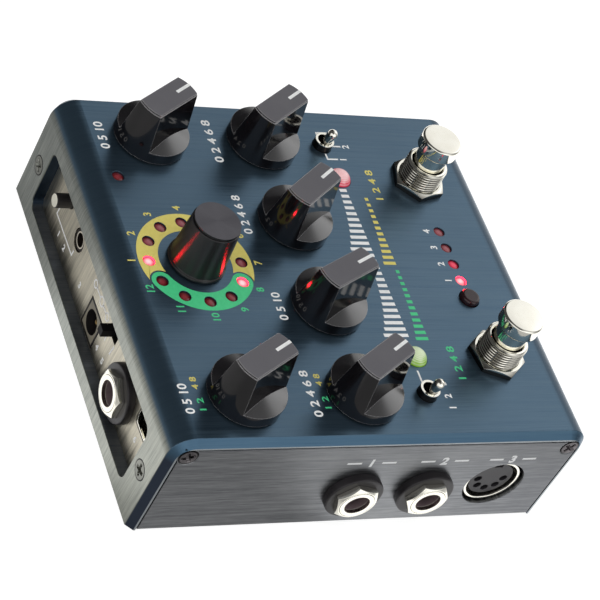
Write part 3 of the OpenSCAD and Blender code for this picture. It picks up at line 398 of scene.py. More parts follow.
black = srgb(0, 0, 0)
deepBlack = shades(24, 22, 23, 34, 32, 33)
brightNickel = shades(236, 233, 221, 243, 241, 231)
shellLook = {
    "top": shades(72, 96, 116, 100, 124, 142),  # dark and light streaks of the anodised top
    "frontBendShade": shades(45, 63, 79, 64, 84, 99),  # rounding above the front wall, painted darker as shade against the bright band it reflects
    "wallSheenNear": shades(128, 132, 126, 178, 180, 170),  # front and rear walls, left end: painted greyer and lighter than the top, as the sheen they reflect
    "wallSheenFar": shades(104, 110, 108, 156, 160, 154),  # the same, right end, with painted shade making it darker
    "window": shades(112, 118, 128, 138, 144, 152),  # walls of the connector window, painted grey as the sheen they reflect
    "windowEndShade": shades(30, 42, 58, 48, 62, 80),  # its end wall on the right, still blue and painted darker as shade in the window's end
    # chamfer colours: the upright chamfers are a shaded copy of the lit top chamfer, painted shade
    "chamfer": shades(58, 84, 106, 80, 108, 128),
    "chamferUprightShade": shades(36, 42, 54, 52, 62, 78),
    "endFlatHighlight": srgb(158, 164, 168),  # rim left inside the chamfer, painted pale as a highlight
    "streaks": (5200.0, 70.0, 38.0), "contrast": 2.3,  # fine across X, long in Y and Z
    "hairlines": (5200.0, 150.0, 150.0), "hairContrast": 2.8,  # shorter ones on the walls
    "bendCalm": 0.75, "bendStreak": 0.45,  # how far the rear rounding loses its streaks, and to what
    "patches": 35.0, "patchRough": 0.05,
    "rough": (0.26, 0.4), "relief": (0.00002, 0.5), "edge": 0.00025,
}
shellZone = {  # where each look of the shell starts and is full, in millimetres
    "rearBend": (51.5, 54.0), "rearBendEnd": (57.4, 57.1),  # in Y
    "frontBendShade": (-51.2, -52.4), "frontBendEnd": (-55.6, -54.6),
    "rearWall": (56.9, 57.4), "frontWall": (-55.3, -57.2),
    "windowBack": (50.0, 50.2), "windowFront": (57.3, 57.1),
    "windowTop": (26.8, 26.4), "chamferTop": (26.0, 29.0),  # in Z
    "windowEndShade": (40.5, 42.5), "length": (-50.0, 50.0),  # in X
    "chamfer": (52.15, 52.35), "endFlatHighlight": (53.92, 53.97),  # in X to either side
}
streakRange = (0.2, 0.8)  # streaks between which the gloss changes


def shellFinish():
    # streaks of the top, bends, walls, window and chamfers, parted by masks of place; walls and window get
    # painted sheen, the front bend, window end and upright chamfers painted shade, the rim inside the chamfer
    # a painted highlight
    look, zone = shellLook, shellZone
    skin = Finish("brushedBlueShell", Metallic=0.9)
    streaks, height = skin.grain(look["streaks"], look["contrast"])
    hair = skin.grain(look["hairlines"], look["hairContrast"])[0]
    patch = skin.marks(look["patches"])[0]
    x, y, z = skin.axes()
    apart = skin.sums("ABSOLUTE", x)
    bend = skin.times(skin.zone(y, zone["rearBend"]), skin.zone(y, zone["rearBendEnd"]))
    streak = skin.mixNumbers(skin.times(bend, look["bendCalm"]), streaks, look["bendStreak"])
    # front rounding: painted shade
    frontBendShade = skin.times(skin.zone(y, zone["frontBendShade"]), skin.zone(y, zone["frontBendEnd"]))
    top = skin.parted(frontBendShade, streak, look["top"], look["frontBendShade"])
    wall = skin.most(*[skin.zone(y, zone[key], smooth=True) for key in ("rearWall", "frontWall")])
    # walls: painted sheen, with painted shade growing towards the right end
    side = skin.parted(skin.zone(x, zone["length"]), hair, look["wallSheenNear"], look["wallSheenFar"])
    within = skin.times(skin.zone(y, zone["windowBack"]), skin.zone(y, zone["windowFront"]))
    window = skin.times(skin.zone(z, zone["windowTop"]), within)
    # window walls: painted sheen, and painted shade on the end wall
    reveal = skin.parted(skin.zone(x, zone["windowEndShade"]), hair, look["window"], look["windowEndShade"])
    faces = skin.mix(skin.most(wall, window), top, skin.mix(window, side, reveal))
    # upright chamfers get the painted shade, top chamfers the lit colour
    cut = skin.parted(skin.zone(z, zone["chamferTop"]), streak, look["chamferUprightShade"], look["chamfer"])
    # painted highlight along the rim inside the chamfer
    cut = skin.mix(skin.zone(apart, zone["endFlatHighlight"]), cut, look["endFlatHighlight"])
    rough = skin.spread(streak, *streakRange, *look["rough"])
    rough = skin.plus(rough, skin.times(patch, look["patchRough"]))
    skin.paint(Base_Color=skin.mix(skin.zone(apart, zone["chamfer"]), faces, cut), Roughness=rough)
    skin.bump(height, *look["relief"], look["edge"])
    return skin.material


plateLook = {
    "colours": shades(92, 94, 98, 146, 148, 150),
    "streaks": (150.0, 150.0, 5800.0),  # along the ends
    "frontShade": 0.32,  # darker towards the front
    "rough": (0.3, 0.45), "edge": 0.0005,
}
panelLook = {
    "colours": shades(152, 147, 133, 212, 206, 188),
    "streaks": (3600.0, 120.0, 120.0),  # upright
    "frontShade": 0.0,
    "rough": (0.32, 0.46), "edge": 0.0001,
}
brushed = {
    "contrast": 3.4, "patches": 40.0, "uneven": 0.08, "shadeZone": (-52.0, -22.0), "relief": (0.00002, 0.45),
}


def brushedFinish(name, look):
    # bare brushed metal with cloudy patches, shaded along Y
    skin = Finish(name, Metallic=1.0)
    streak, height = skin.grain(look["streaks"], brushed["contrast"])
    uneven = skin.ramp(skin.marks(brushed["patches"])[0], -brushed["uneven"], brushed["uneven"])
    rear = skin.zone(skin.axes()[1], brushed["shadeZone"])
    tone = skin.minus(skin.plus(streak, uneven), skin.ramp(rear, look["frontShade"], 0.0))
    rough = skin.spread(streak, *streakRange, *look["rough"])
    skin.paint(Base_Color=skin.mix(tone, *look["colours"]), Roughness=rough)
    skin.bump(height, *brushed["relief"], look["edge"])
    return skin.material


def platedFinish(name, colours, rough):
    # bright plating: faint cloudy colour and a little uneven gloss
    skin = Finish(name, Metallic=1.0)
    skin.paint(Base_Color=skin.mix(skin.patchy("plating", rough), *colours))
    return skin.material


threadLook = {"floor": srgb(34, 28, 24), "deep": (0.2, 0.7), "rough": (0.1, 0.16)}


def threadFinish():
    # nickel thread, darker towards the floor of its groove
    skin = Finish("nickelThread", Metallic=1.0)
    crest = skin.mix(skin.patchy("thread", threadLook["rough"]), *brightNickel)
    deep = skin.spread(skin.share(), *threadLook["deep"])
    skin.paint(Base_Color=skin.mix(deep, crest, threadLook["floor"]))
    return skin.material


def mouldedFinish(name, colours, rough, kind="moulding", **fixed):
    # moulded plastic: fine speck in the surface, patches in colour and gloss
    skin = Finish(name, **fixed)
    skin.paint(Base_Color=skin.mix(skin.patchy(kind, rough), *colours))
    return skin.material


knobLook = {
    "gloss": shades(14, 13, 15, 22, 20, 23),
    "shoulder": shades(22, 21, 23, 29, 28, 31),  # slopes beside the bar: painted lighter, as light from above falls on them; their gloss a little duller
    "slope": (0.72, 0.88),  # how far up a face looks where it counts as a slope
    "matt": shades(84, 83, 88, 98, 97, 102),  # top plate
    "plate": (-0.06, -0.03),  # where it starts and is full under the top, in millimetres
    "edge": 0.00026, "edgeTurn": (0.985, 0.93), "edgeHighlight": srgb(176, 175, 178),  # painted highlight line along edges
    "encoderTop": shades(70, 69, 75, 84, 83, 88),
    "encoderRough": (0.3, 0.6),  # turned side and top
    "rings": (30.0, 30.0, 16000.0), "ringContrast": 1.4,  # fine rings along the height
    "glossRough": (0.06, 0.11), "mattRough": (0.55, 0.68), "dull": 0.1,  # added on edges and slopes
    "patches": 180.0, "relief": (0.00003, 0.6), "encoderRelief": (0.00003, 0.35),  # depth and strength
}


def topPlate(skin, height):
    # mask of the plate on top of a knob of a height
    return skin.zone(skin.axes()[2], [height + limit for limit in knobLook["plate"]])


def edgeLine(skin):
    # mask of a thin line along edges, where the rounded normal leaves the flat one; it carries a painted
    # highlight
    soft = skin.add("Bevel", {"samples": 8}, Radius=knobLook["edge"]).outputs[0]
    return skin.spread(skin.dot(soft, skin.normal()), *knobLook["edgeTurn"])


def knobFinish(height):
    # gloss black sides, coated slopes painted a little lighter where light from above falls, a painted
    # highlight line on edges, and a matt grey top plate picked out by height
    look = knobLook
    skin = Finish("knobBlackMattTop", IOR=1.5, Coat_IOR=1.6, Coat_Roughness=0.14)
    patch, speck = skin.marks(look["patches"])
    top, edge = topPlate(skin, height), edgeLine(skin)
    slope = skin.spread(skin.axes(skin.normal())[2], *look["slope"])
    # slopes take the painted lighter colour
    colour = skin.parted(slope, patch, look["gloss"], look["shoulder"])
    colour = skin.mix(top, colour, skin.mix(speck, *look["matt"]))
    gloss, matt = skin.ramp(patch, *look["glossRough"]), skin.ramp(patch, *look["mattRough"])
    worn = skin.times(skin.most(edge, slope), look["dull"])
    duller = skin.most(skin.times(skin.minus(matt, gloss), top), worn)
    # edges: painted highlight line
    skin.paint(Base_Color=skin.mix(edge, colour, look["edgeHighlight"]), Roughness=skin.plus(gloss, duller))
    skin.paint(Coat_Weight=skin.times(slope, skin.ramp(top, 1.0, 0.0)))
    skin.bump(skin.times(speck, top), *look["relief"])
    return skin.material


def turnedBlack(height):
    # black turned side: fine rings along the height smear reflections upwards, matt top
    look = knobLook
    skin = Finish("encoderTurnedBlack", IOR=1.55, Anisotropic=0.95, Anisotropic_Rotation=0.25)
    streak, rings = skin.grain(look["rings"], look["ringContrast"])
    speck = skin.marks(look["patches"])[1]
    top = topPlate(skin, height)
    colour = skin.mix(top, skin.mix(streak, *look["gloss"]), skin.mix(speck, *look["encoderTop"]))
    skin.paint(Base_Color=colour, Roughness=skin.ramp(top, *look["encoderRough"]))
    side = skin.times(rings, skin.ramp(top, 1.0, 0.0))
    skin.bump(skin.plus(side, skin.times(speck, top)), *look["encoderRelief"])
    return skin.material


def inkFinish(name, *colours):
    # printed ink: slightly uneven cover
    skin = Finish(name, Roughness=0.5)
    skin.paint(Base_Color=skin.mix(skin.patchy("ink"), *shades(*colours)))
    return skin.material


lensLook = {
    "patches": 700.0, "uneven": 0.12, "rim": 0.15,  # share of the radius where the rim's colour starts
    "clearRim": 0.5, "clearShare": 0.62, "arcHighlightShare": 0.42,  # in a clear lens with moulded steps, whose pale arcs are painted highlights
}


def lensFinish(name, colours, glow, strength, rough=0.18, cast=None, arcs=0.0):
    # lens whose colour and glow run from core to rim with the stored share of the radius;
    # cast is the stronger light that a lit one throws on what stands round it
    look = lensLook
    skin = Finish(name, Roughness=rough, IOR=1.45, Emission_Strength=strength)
    share = skin.share()
    uneven = skin.plus(share, skin.ramp(skin.marks(look["patches"])[0], -look["uneven"], look["uneven"]))
    toRim = skin.spread(uneven, look["clearRim" if arcs else "rim"], 1.0, smooth=True)
    if arcs:  # pale rings for the moulded steps inside a clear lens, painted as their highlights
        wave = skin.spread(skin.sums("SINE", skin.times(share, arcs)), -1.0, 1.0, 0.0, look["arcHighlightShare"])
        toRim = skin.plus(skin.times(toRim, look["clearShare"]), wave)
    shine = skin.mix(toRim, *glow)
    if cast:
        shine = skin.mix(skin.rays()[0], cast, shine)
    skin.paint(Base_Color=skin.mix(toRim, *colours), Emission_Color=shine)
    return skin.material


maskedUneven = (-0.03, 0.03)  # how much the gloss differs over the patches


def masked(name, inner, outer, maskOf, rough, metal=None, **fixed):
    # two finishes on one solid, parted by a mask worked out from the place on it
    skin = Finish(name, **fixed)
    patch = skin.patchy("masked")
    mask = maskOf(skin, *skin.axes())
    skin.paint(Base_Color=skin.parted(mask, patch, inner, outer))
    skin.paint(Roughness=skin.plus(skin.ramp(mask, *rough), skin.ramp(patch, *maskedUneven)))
    if metal:
        skin.paint(Metallic=skin.ramp(mask, *metal))
    return skin.material


def beyond(axis, limit, soft=0.02):
    # mask that turns on over a limit in millimetres
    def build(skin, *place):
        return skin.zone(place[axis], (limit - soft, limit + soft))
    return build


def outside(skin, node, radius, x, z, soft=0.04):
    # mask outside a circle about the middle of a socket on the rear face
    spot = middle(node) * mm
    across, up = skin.minus(x, spot[0]), skin.minus(z, spot[2])
    away = skin.sums("SQRT", skin.plus(skin.times(across, across), skin.times(up, up)))
    return skin.zone(away, (radius - soft, radius + soft))


socketZone = {  # in millimetres
    "endSleeves": (56.8, 57.1), "rearSleeve": (57.1, 57.4),  # bare ends of the threaded sleeves
    "miniRing": (1.86, 2.2),  # radii of the small jack's bare ring
    "powerBore": 3.25, "powerOutline": (0.54, 0.6),  # radius, and distance from the outer edge
    "tip": 0.12, "sleeveTop": 0.22,  # depth of the push button's pale tip and of the toggles' bright end
}


def sleeveEnds(skin, x, y, z):
    # outermost part of the threaded sleeves, on the two ends and at the rear
    apart = skin.sums("ABSOLUTE", x)
    return skin.most(skin.zone(apart, socketZone["endSleeves"]), skin.zone(y, socketZone["rearSleeve"]))


def miniMouth(skin, x, y, z):
    # thin bare ring about the bore of the small jack
    inner, outer = [outside(skin, "mini_jack", radius, x, z) for radius in socketZone["miniRing"]]
    return skin.minus(inner, outer)


def socketFace(skin, x, y, z):
    # square face of the power socket: pale between the bore and a dark outline, which is painted shadow of
    # the gap round the face
    spot = middle("power_socket") * mm
    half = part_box("power_socket")[1].x / mm - middle("power_socket")[0]
    across, up = [skin.sums("ABSOLUTE", skin.minus(*pair)) for pair in ((x, spot[0]), (z, spot[2]))]
    face = skin.zone(skin.most(across, up), [half - edge for edge in socketZone["powerOutline"]])
    return skin.times(outside(skin, "power_socket", socketZone["powerBore"], x, z), face)


finishes = {
    "case_blue": shellFinish(),
    "plate_grey": brushedFinish("brushedGreyPlate", plateLook),
    "panel_grey": brushedFinish("recessedPanel", panelLook),
    "nickel": platedFinish("brightNickel", brightNickel, (0.07, 0.1)),
    "control_metal": platedFinish("pressedSteel", shades(150, 150, 146, 176, 176, 172), (0.3, 0.42)),
    "brass_pin": platedFinish("pinBrass", shades(112, 92, 58, 136, 114, 74), (0.25, 0.35)),
    "board_green": mouldedFinish("solderMask", shades(14, 66, 40, 20, 84, 50), (0.3, 0.45)),
    "support_white": mouldedFinish("supportPlastic", shades(210, 206, 196, 224, 220, 210), (0.4, 0.5)),
    "inner_black": mouldedFinish("innerBlack", shades(28, 27, 29, 38, 37, 39), (0.42, 0.55)),
    "button_brown": mouldedFinish("buttonBrown", shades(30, 13, 17, 42, 20, 25), (0.2, 0.3)),
    "collar_black": mouldedFinish("collarBlack", shades(22, 20, 22, 32, 29, 32), (0.34, 0.46), "coarse",
                                  Specular_IOR_Level=0.38),
}
tipReflection = beyond(1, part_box("push_button")[1].y / mm - socketZone["tip"])
sleeveTop = beyond(2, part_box("toggle_bushings")[1].z / mm - socketZone["sleeveTop"])
special = {  # nodes with a finish of their own
    "jack_bodies": masked("jackSleeve", shades(104, 90, 94, 122, 106, 110), brightNickel, sleeveEnds,
                          (0.5, 0.12), (0.0, 1.0)),
    # dark outline: painted shadow of the gap round the face
    "power_socket": masked("socketFace", deepBlack, shades(122, 117, 104, 142, 137, 123), socketFace,
                           (0.5, 0.42), Specular_IOR_Level=0.2),
    # pale tip painted as the white background it reflects; dark button behind
    "push_button": masked("pushTip", deepBlack, shades(222, 220, 206, 232, 230, 216), tipReflection, (0.4, 0.4)),
    # sleeve sides painted dark brown, as the dark surroundings they reflect; bright nickel at the top end
    "toggle_bushings": masked("toggleSleeve", shades(58, 50, 46, 80, 70, 64), brightNickel, sleeveTop,
                              (0.28, 0.1), Metallic=1.0),
    "mini_jack": masked("miniRing", shades(24, 21, 20, 36, 31, 27), shades(214, 206, 190, 228, 220, 204),
                        miniMouth, (0.42, 0.25), (0.0, 1.0), Specular_IOR_Level=0.15),
    "slide_lever": mouldedFinish("leverBlack", shades(12, 11, 14, 18, 17, 20), (0.5, 0.6),
                                 Specular_IOR_Level=0.08),
}
for entry in frame["record"]["subparts"]:
    finish = special.get(entry["node"], finishes.get(entry["material_slot"]))
    if finish:
        nodes[entry["node"]].material_slots[0].material = finish
whiteInk = inkFinish("whiteInk", 238, 240, 241, 250, 251, 251)
yellowInk = inkFinish("yellowInk", 218, 205, 106, 226, 213, 116)
greenInk = inkFinish("greenInk", 68, 200, 134, 76, 208, 142)
lineInk = inkFinish("pointerWhite", 226, 228, 228, 240, 241, 241)
print("stage: finishes", len(bpy.data.materials))


# pointer knobs and encoder

knob = {
    "names": ("delay", "mix", "feedback", "tone", "first_control", "second_control"),
    "radius": 9.5, "lift": 0.5, "skirt": 3.6, "rise": 3.2, "barTop": 3.47, "barFoot": 5.0, "endRadius": 8.4,
    "height": 14.9, "cap": 0.5, "capInset": 0.2, "hollow": 6.4, "hollowTop": 3.0,
    "endSteps": 22, "sideSteps": 30, "slopeSteps": 8, "wallSteps": 7, "softEdge": 0.16, "softAngle": 28,
    "lineFrom": 3.0, "lineWidth": 0.85, "lineDeep": 0.28, "lineProud": (0.04, 0.02),  # past the plate
    "pointerStop": -65,  # direction of the pointer at the low end of its range, in degrees
}


def barRing(radius, half, z):
    # circle of a radius cut by two lines at +-half: end arc, side, end arc, side
    corner = math.asin(half / radius)
    reach = radius * math.cos(corner)
    arc = np.linspace(-corner, corner, knob["endSteps"])
    along = np.linspace(reach, -reach, knob["sideSteps"])
    x = np.concatenate([radius * np.cos(arc), along, -radius * np.cos(arc), -along])
    y = np.concatenate([radius * np.sin(arc), half + 0 * along, -radius * np.sin(arc), -half + 0 * along])
    return np.stack([x, y, np.full_like(x, z)], -1)


def knobShape():
    # rings from the hollow foot over the upright skirt, along the cone of the shoulders to the arch
    # where they meet the tapered bar, then straight up to the bar's top, the cap plate and the middle
    size = knob
    barTop = size["height"] - size["cap"]
    corner = math.asin(size["barFoot"] / size["radius"])
    arc = np.linspace(-corner, corner, size["endSteps"])
    side = np.linspace(corner, math.pi - corner, size["sideSteps"])
    angle = np.concatenate([arc, side, arc + math.pi, side + math.pi])
    circle = np.stack([np.cos(angle), np.sin(angle)], -1)

    def level(radius, z):
        return np.column_stack([circle * radius, np.full(len(angle), z)])

    def coneHeight(ring):
        return size["skirt"] + size["rise"] * (1 - np.hypot(ring[..., 0], ring[..., 1]) / size["radius"])

    rim = level(size["radius"], size["skirt"])
    arch = barRing(size["radius"], size["barFoot"], size["skirt"])
    isSide = np.abs(np.abs(arch[:, 1]) - size["barFoot"]) < 1e-6
    taper = (size["barTop"] - size["barFoot"]) / (barTop - size["skirt"])
    for turn in range(12):  # height of the cone and half width of the bar settle together
        z = coneHeight(arch)
        half = size["barFoot"] + taper * (z - size["skirt"])
        arch[:, 1] = np.where(isSide, np.sign(arch[:, 1]) * half, arch[:, 1])
    arch[:, 2] = np.where(isSide, z, size["skirt"])
    shoulder = rim + (arch - rim) * np.linspace(0, 1, size["slopeSteps"])[1:, None, None]
    shoulder[..., 2] = coneHeight(shoulder)
    shoulder[-1] = arch
    wall = barRing(size["endRadius"], size["barTop"], barTop) - arch
    wall = arch + wall * np.linspace(0, 1, size["wallSteps"])[1:, None, None]
    plate = barRing(size["endRadius"] - size["capInset"], size["barTop"] - size["capInset"], size["height"])
    inset = plate - (0, 0, size["cap"])
    rings = [level(radius, size["hollowTop"]) for radius in (0, size["hollow"])]
    rings += [level(radius, size["lift"]) for radius in (size["hollow"], size["radius"])]
    rings += [rim, *shoulder, *wall, inset, plate, plate * (0.5, 0.5, 1), plate * (0, 0, 1)]
    return np.concatenate(rings), gridFaces(len(rings), len(angle), closed=True)


def lineShape():
    # thin block let into the top plate from its middle to its end
    beyondEnd, beyondTop = knob["lineProud"]
    end, half = knob["endRadius"] - knob["capInset"] + beyondEnd, knob["lineWidth"] / 2
    low = knob["lineFrom"], -half, knob["height"] - knob["lineDeep"]
    return blockShape(low, (end, half, knob["height"] + beyondTop))


jointOf = {joint["child"]: joint for joint in frame["record"]["behaviour"]["joints"]}
knobBody, lineBody = knobShape(), lineShape()
knobBlack = knobFinish(panelTop + knob["height"])
for name in knob["names"]:
    turn = knob["pointerStop"] - jointOf[name]["range_deg"][0]  # pointer direction at rest
    spot = [(upright, (*middle(name + "_knob")[:2], panelTop))]
    body = copies(knobBody, spot, [turn])
    piece = meshPiece(name + "PointerKnob", body, knobBlack, (name + "_knob",), name)
    softEdges(piece, knob["softEdge"], knob["softAngle"])
    meshPiece(name + "PointerLine", copies(lineBody, spot, [turn]), lineInk, body=name)
print("stage: pointer knobs")

encoder = {
    "foot": 7.45, "footHeight": 0.6, "lift": 0.5, "hollow": 6.4, "hollowTop": 3.0, "side": 7.0, "top": 5.9,
    "groove": 0.3, "grooveDeep": 0.28, "flare": 0.25, "cap": 0.5, "height": 14.9, "ring": 3.0,
}


def encoderShape():
    # hollow foot, flange, tapered side, groove and top plate turned round the axis
    size = encoder
    top, capFoot = size["top"], size["height"] - size["cap"]
    grooveFoot = capFoot - size["groove"]
    footTop = size["lift"] + size["footHeight"]
    path = [
        (0, size["hollowTop"], 0), (size["hollow"], size["hollowTop"], 0), (size["hollow"], size["lift"], 0),
        (size["foot"], size["lift"], 0.1), (size["foot"], footTop, 0.2),
        (size["side"], footTop + size["flare"], 0.2), (top + size["flare"], grooveFoot, 0.22),
        (top - size["grooveDeep"], grooveFoot, 0.08), (top - size["grooveDeep"], capFoot, 0.08),
        (top, capFoot + 0.05, 0.06), (top, size["height"], 0.1), (size["ring"], size["height"], 0),
        (0, size["height"], 0),
    ]
    return lathe(rounded(path), steps=128)


encoderBody = turned(encoderShape(), upright, (*middle("encoder_knob")[:2], panelTop))
encoderBlack = turnedBlack(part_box("encoder_knob")[1].z / mm)
meshPiece("encoderTurned", encoderBody, encoderBlack, ("encoder_knob",), "encoder")


# foot switches

footSwitch = {
    "nutCorner": 7.65, "nutHeight": 2.0, "nutTurns": (-21.7, 15.8), "nutBright": 1.5,
    "bore": 4.42, "play": 0.06,
    "bushRadius": 5.6, "bushFoot": -2.2, "bushHeight": 7.5,
    "pitch": 0.8, "threadDepth": 0.46, "threadEnd": 0.45, "runOut": 0.4, "threadRows": 9,
    "threadWave": (1.25, 0.12),  # how much steeper and lower the triangle is before it is clipped
    "stem": 4.15, "cap": 5.4, "capHeight": 4.7, "height": 16.3, "bevel": 0.4, "crown": 0.06,
}


def hexNut(flats, height, bore, chamferAngle=30.0, flush=0.97, steps=120, bevel=0.12, footShare=0.08):
    # six-sided wall: half the flats over the cosine of the angle from a flat's middle; a cone takes off
    # its corners, so each upper edge is an arc, and a share of that comes off below
    wedge = (around(steps) + math.pi / 6) % (math.pi / 3) - math.pi / 6
    wall = flats / 2 / np.cos(wedge)
    face = flats / 2 * flush
    drop = (wall - face) * math.tan(math.radians(chamferAngle))
    radius = stacked(steps, bore, face, wall, wall, face, bore + bevel, bore, bore)
    level = stacked(steps, 0, 0, drop * footShare, height - drop, height, height, height - bevel, 0)
    return revolve(radius, level)


def nutPiece(name, shape, material, node):
    piece = meshPiece(name, shape, material, (node,), crease=20)
    softEdges(piece, width=0.06, angle=18)


def threadShape(steps=72):
    # helical thread: radius falls by a clipped triangle wave of height over pitch minus turn;
    # also hands back how deep in the groove each vertex is
    size = footSwitch
    radius, foot, top, bore = size["bushRadius"], size["bushFoot"], size["bushHeight"], size["bore"]
    rows = np.arange(foot, top - size["threadEnd"], size["pitch"] / size["threadRows"])[:, None]
    turn = (np.arange(steps) / steps)[None, :]
    wave = np.abs(2 * ((rows / size["pitch"] - turn) % 1) - 1)
    steeper, lower = size["threadWave"]
    wave = np.clip(steeper * wave - lower, 0, 1)
    wave = wave * np.clip((top - size["threadEnd"] - rows) / size["runOut"], 0, 1)  # ends below the lip
    lip = np.array([  # radius and height from the end of the thread over the lip down the bore
        (radius - 0.12, top - 0.42), (radius - 0.42, top - 0.05), (radius - 0.5, top),
        (bore + 0.25, top), (bore, top - 0.25), (bore, foot),
    ])
    radial = stacked(steps, bore, radius - size["threadDepth"] * wave, lip[:, :1])
    level = stacked(steps, foot, rows, lip[:, 1:])
    groove = stacked(steps, 0, wave, 0 * lip[:, :1])
    return revolve(radial, level), groove.ravel()


def plungerShape(shank):
    # shank, stem, undercut cap with bevelled edges and a very slightly crowned top
    stem, cap, high, bevel = [footSwitch[key] for key in ("stem", "cap", "height", "bevel")]
    capFoot = high - footSwitch["capHeight"]
    shoulder = high - footSwitch["crown"]
    path = [
        (0, shank, 0), (stem, shank, 0), (stem, shank + 1, 0), (stem, shank + 2, 0), (stem, capFoot, 0.2),
        (cap - 0.8, capFoot, 0.1), (cap, capFoot + 0.9, 0.25), (cap, high - bevel, 0.16),
        (cap - bevel, shoulder, 0.16), (cap / 2, high - footSwitch["crown"] / 4, 0), (0, high, 0),
    ]
    return lathe(rounded(path), steps=112)


nickel = finishes["nickel"]
footSpots = [(upright, (*middle(side + "_plunger")[:2], panelTop)) for side in ("left", "right")]
plungerBody = plungerShape(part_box("left_plunger")[0].z / mm - panelTop)
threadBody, threadGroove = threadShape()
meshPiece("footBushThreads", copies(threadBody, footSpots), threadFinish(),
          ("footswitch_bushings",), share=threadGroove)
nutBody = hexNut(footSwitch["nutCorner"] * math.sqrt(3), footSwitch["nutHeight"],
                 footSwitch["bushRadius"] + footSwitch["play"])
# nut sides below a height painted dark brown, as the shaded panel they reflect; bright nickel above
nutShadedBelow = masked("footNutNickel", shades(66, 57, 52, 88, 78, 70), brightNickel,
                 beyond(2, panelTop + footSwitch["nutBright"], 0.35), (0.2, 0.09), Metallic=1.0)
nutPiece("footSwitchNuts", copies(nutBody, footSpots, footSwitch["nutTurns"]), nutShadedBelow, "footswitch_nuts")
for side, spot in zip(("left", "right"), footSpots):
    meshPiece(side + "FootPlunger", turned(plungerBody, *spot), nickel, (side + "_plunger",),
              side + "_footswitch")
print("stage: foot switches")


# jack nuts and collars

jack = {
    "collarRadius": 7.5, "collar": 2.1,
    "flats": 10.2, "nut": 1.9, "bore": 4.46, "chamfer": 32.0, "flush": 0.945,
    "turns": (14, 30, 14, 30, 0),  # how far each nut was tightened, in degrees
    "rough": (0.15, 0.2),
}


def collarShape():
    # round collar with a full upper edge
    bore, radius, high = jack["bore"], jack["collarRadius"], jack["collar"]
    path = [(bore, 0, 0), (radius - 0.05, 0, 0.1), (radius, 0.7, 0.4), (radius - 0.1, high, 0.45),
            (bore, high, 0), (bore, 0, 0)]
    return lathe(rounded(path), steps=112)


mountAt = {mount["name"]: np.array(mount["pos_m"]) / mm for mount in frame["record"]["mounts"]}
jackSpots = []
for side, axes in (("left", outLeft), ("right", outRight)):
    jackSpots += [(axes, mountAt[side + ending]) for ending in ("_jack_a", "_jack_b")]
jackSpots.append((outRear, mountAt["rear_jack"]))
nutBody = hexNut(jack["flats"], jack["nut"], jack["bore"], jack["chamfer"], jack["flush"])
nutBody = turned(nutBody, upright, (0, 0, jack["collar"]))
nutBright = platedFinish("nutNickel", brightNickel, jack["rough"])
nutPiece("jackNutRings", copies(nutBody, jackSpots, jack["turns"]), nutBright, "jack_nuts")
meshPiece("jackCollarRings", copies(collarShape(), jackSpots), finishes["collar_black"],
          ("jack_collars",))
print("stage: jacks")


# five-pin round sockets on the ends

roundSocket = {
    "insert": 5.9, "face": -1.7, "floor": -4.5, "pins": 3.75, "well": 0.95, "wellDeep": 2.6, "key": 1.0,
    "keyFrom": 4.7, "floorThick": 0.4, "shield": (6.75, 7.5), "lip": -0.9, "shieldDeep": -7.0, "round": 0.06,
    "bodyHalf": 8.3, "bodyDeep": -14.0, "bodyGap": 0.05, "play": 0.01,
    "soft": {"well": 0.1, "key": 0.12, "keyEnd": 0.14},  # width of the slopes at their edges
}


def softStep(distance, width):
    # 0 below and 1 above zero distance, with a ramp of a width between
    return np.clip(distance / width + 0.5, 0, 1)


def insertShape(steps=240):
    # polar height field: flat face with round wells along its lower half and a key slot at the top,
    # then the side of the insert, the floor of the groove round it and a closed underside
    size = roundSocket
    spans = ((0, 2.6, 5), (2.7, 4.8, 24), (4.9, size["insert"], 8))  # closer rings where the wells are
    r = np.concatenate([np.linspace(*span) for span in spans])[:, None]
    x, y = r * np.cos(around(steps)), r * np.sin(around(steps))
    pin = np.radians(180 + 45 * np.arange(5))[:, None, None]
    away = np.hypot(x - size["pins"] * np.cos(pin), y - size["pins"] * np.sin(pin)).min(0)
    soft = size["soft"]
    slot = softStep(size["key"] - np.abs(x), soft["key"]) * softStep(y - size["keyFrom"], soft["keyEnd"])
    cut = np.maximum(softStep(size["well"] - away, soft["well"]), slot)
    groove, under = size["shield"][0] - size["play"], size["floor"] - size["floorThick"]
    radius = stacked(steps, r, size["insert"], groove, groove, 0)
    level = stacked(steps, size["face"] - size["wellDeep"] * cut, size["floor"], size["floor"], under, under)
    return revolve(radius, level), stacked(steps, cut, 1, 1, 1, 1).ravel()


def shieldShape():
    # tube with a rounded lip
    inner, outer = roundSocket["shield"]
    lip, deep, soft = roundSocket["lip"], roundSocket["shieldDeep"], roundSocket["round"]
    path = [
        (inner, deep, 0), (outer, deep, 0), (outer, lip - 0.1, soft), (outer - 0.12, lip, soft),
        (inner + 0.12, lip, soft), (inner, lip - 0.1, soft), (inner, deep, 0),
    ]
    return lathe(rounded(path), steps=96)


def storedShare(skin, *place):
    # mask that is stored with the mesh
    return skin.share()


insertBody, insertShare = insertShape()
half = roundSocket["bodyHalf"]
bodyTop = roundSocket["floor"] - roundSocket["bodyGap"]
blockBody = blockShape((-half, -half, roundSocket["bodyDeep"]), (half, half, bodyTop))
socketSpots = []
for side, axes, sign in (("left", outLeft, -1), ("right", outRight, 1)):
    socketSpots.append((axes, (sign * halfWide, *mountAt[side + "_round_socket"][1:])))
shapes = [turned(body, *spot) for spot in socketSpots for body in (insertBody, blockBody)]
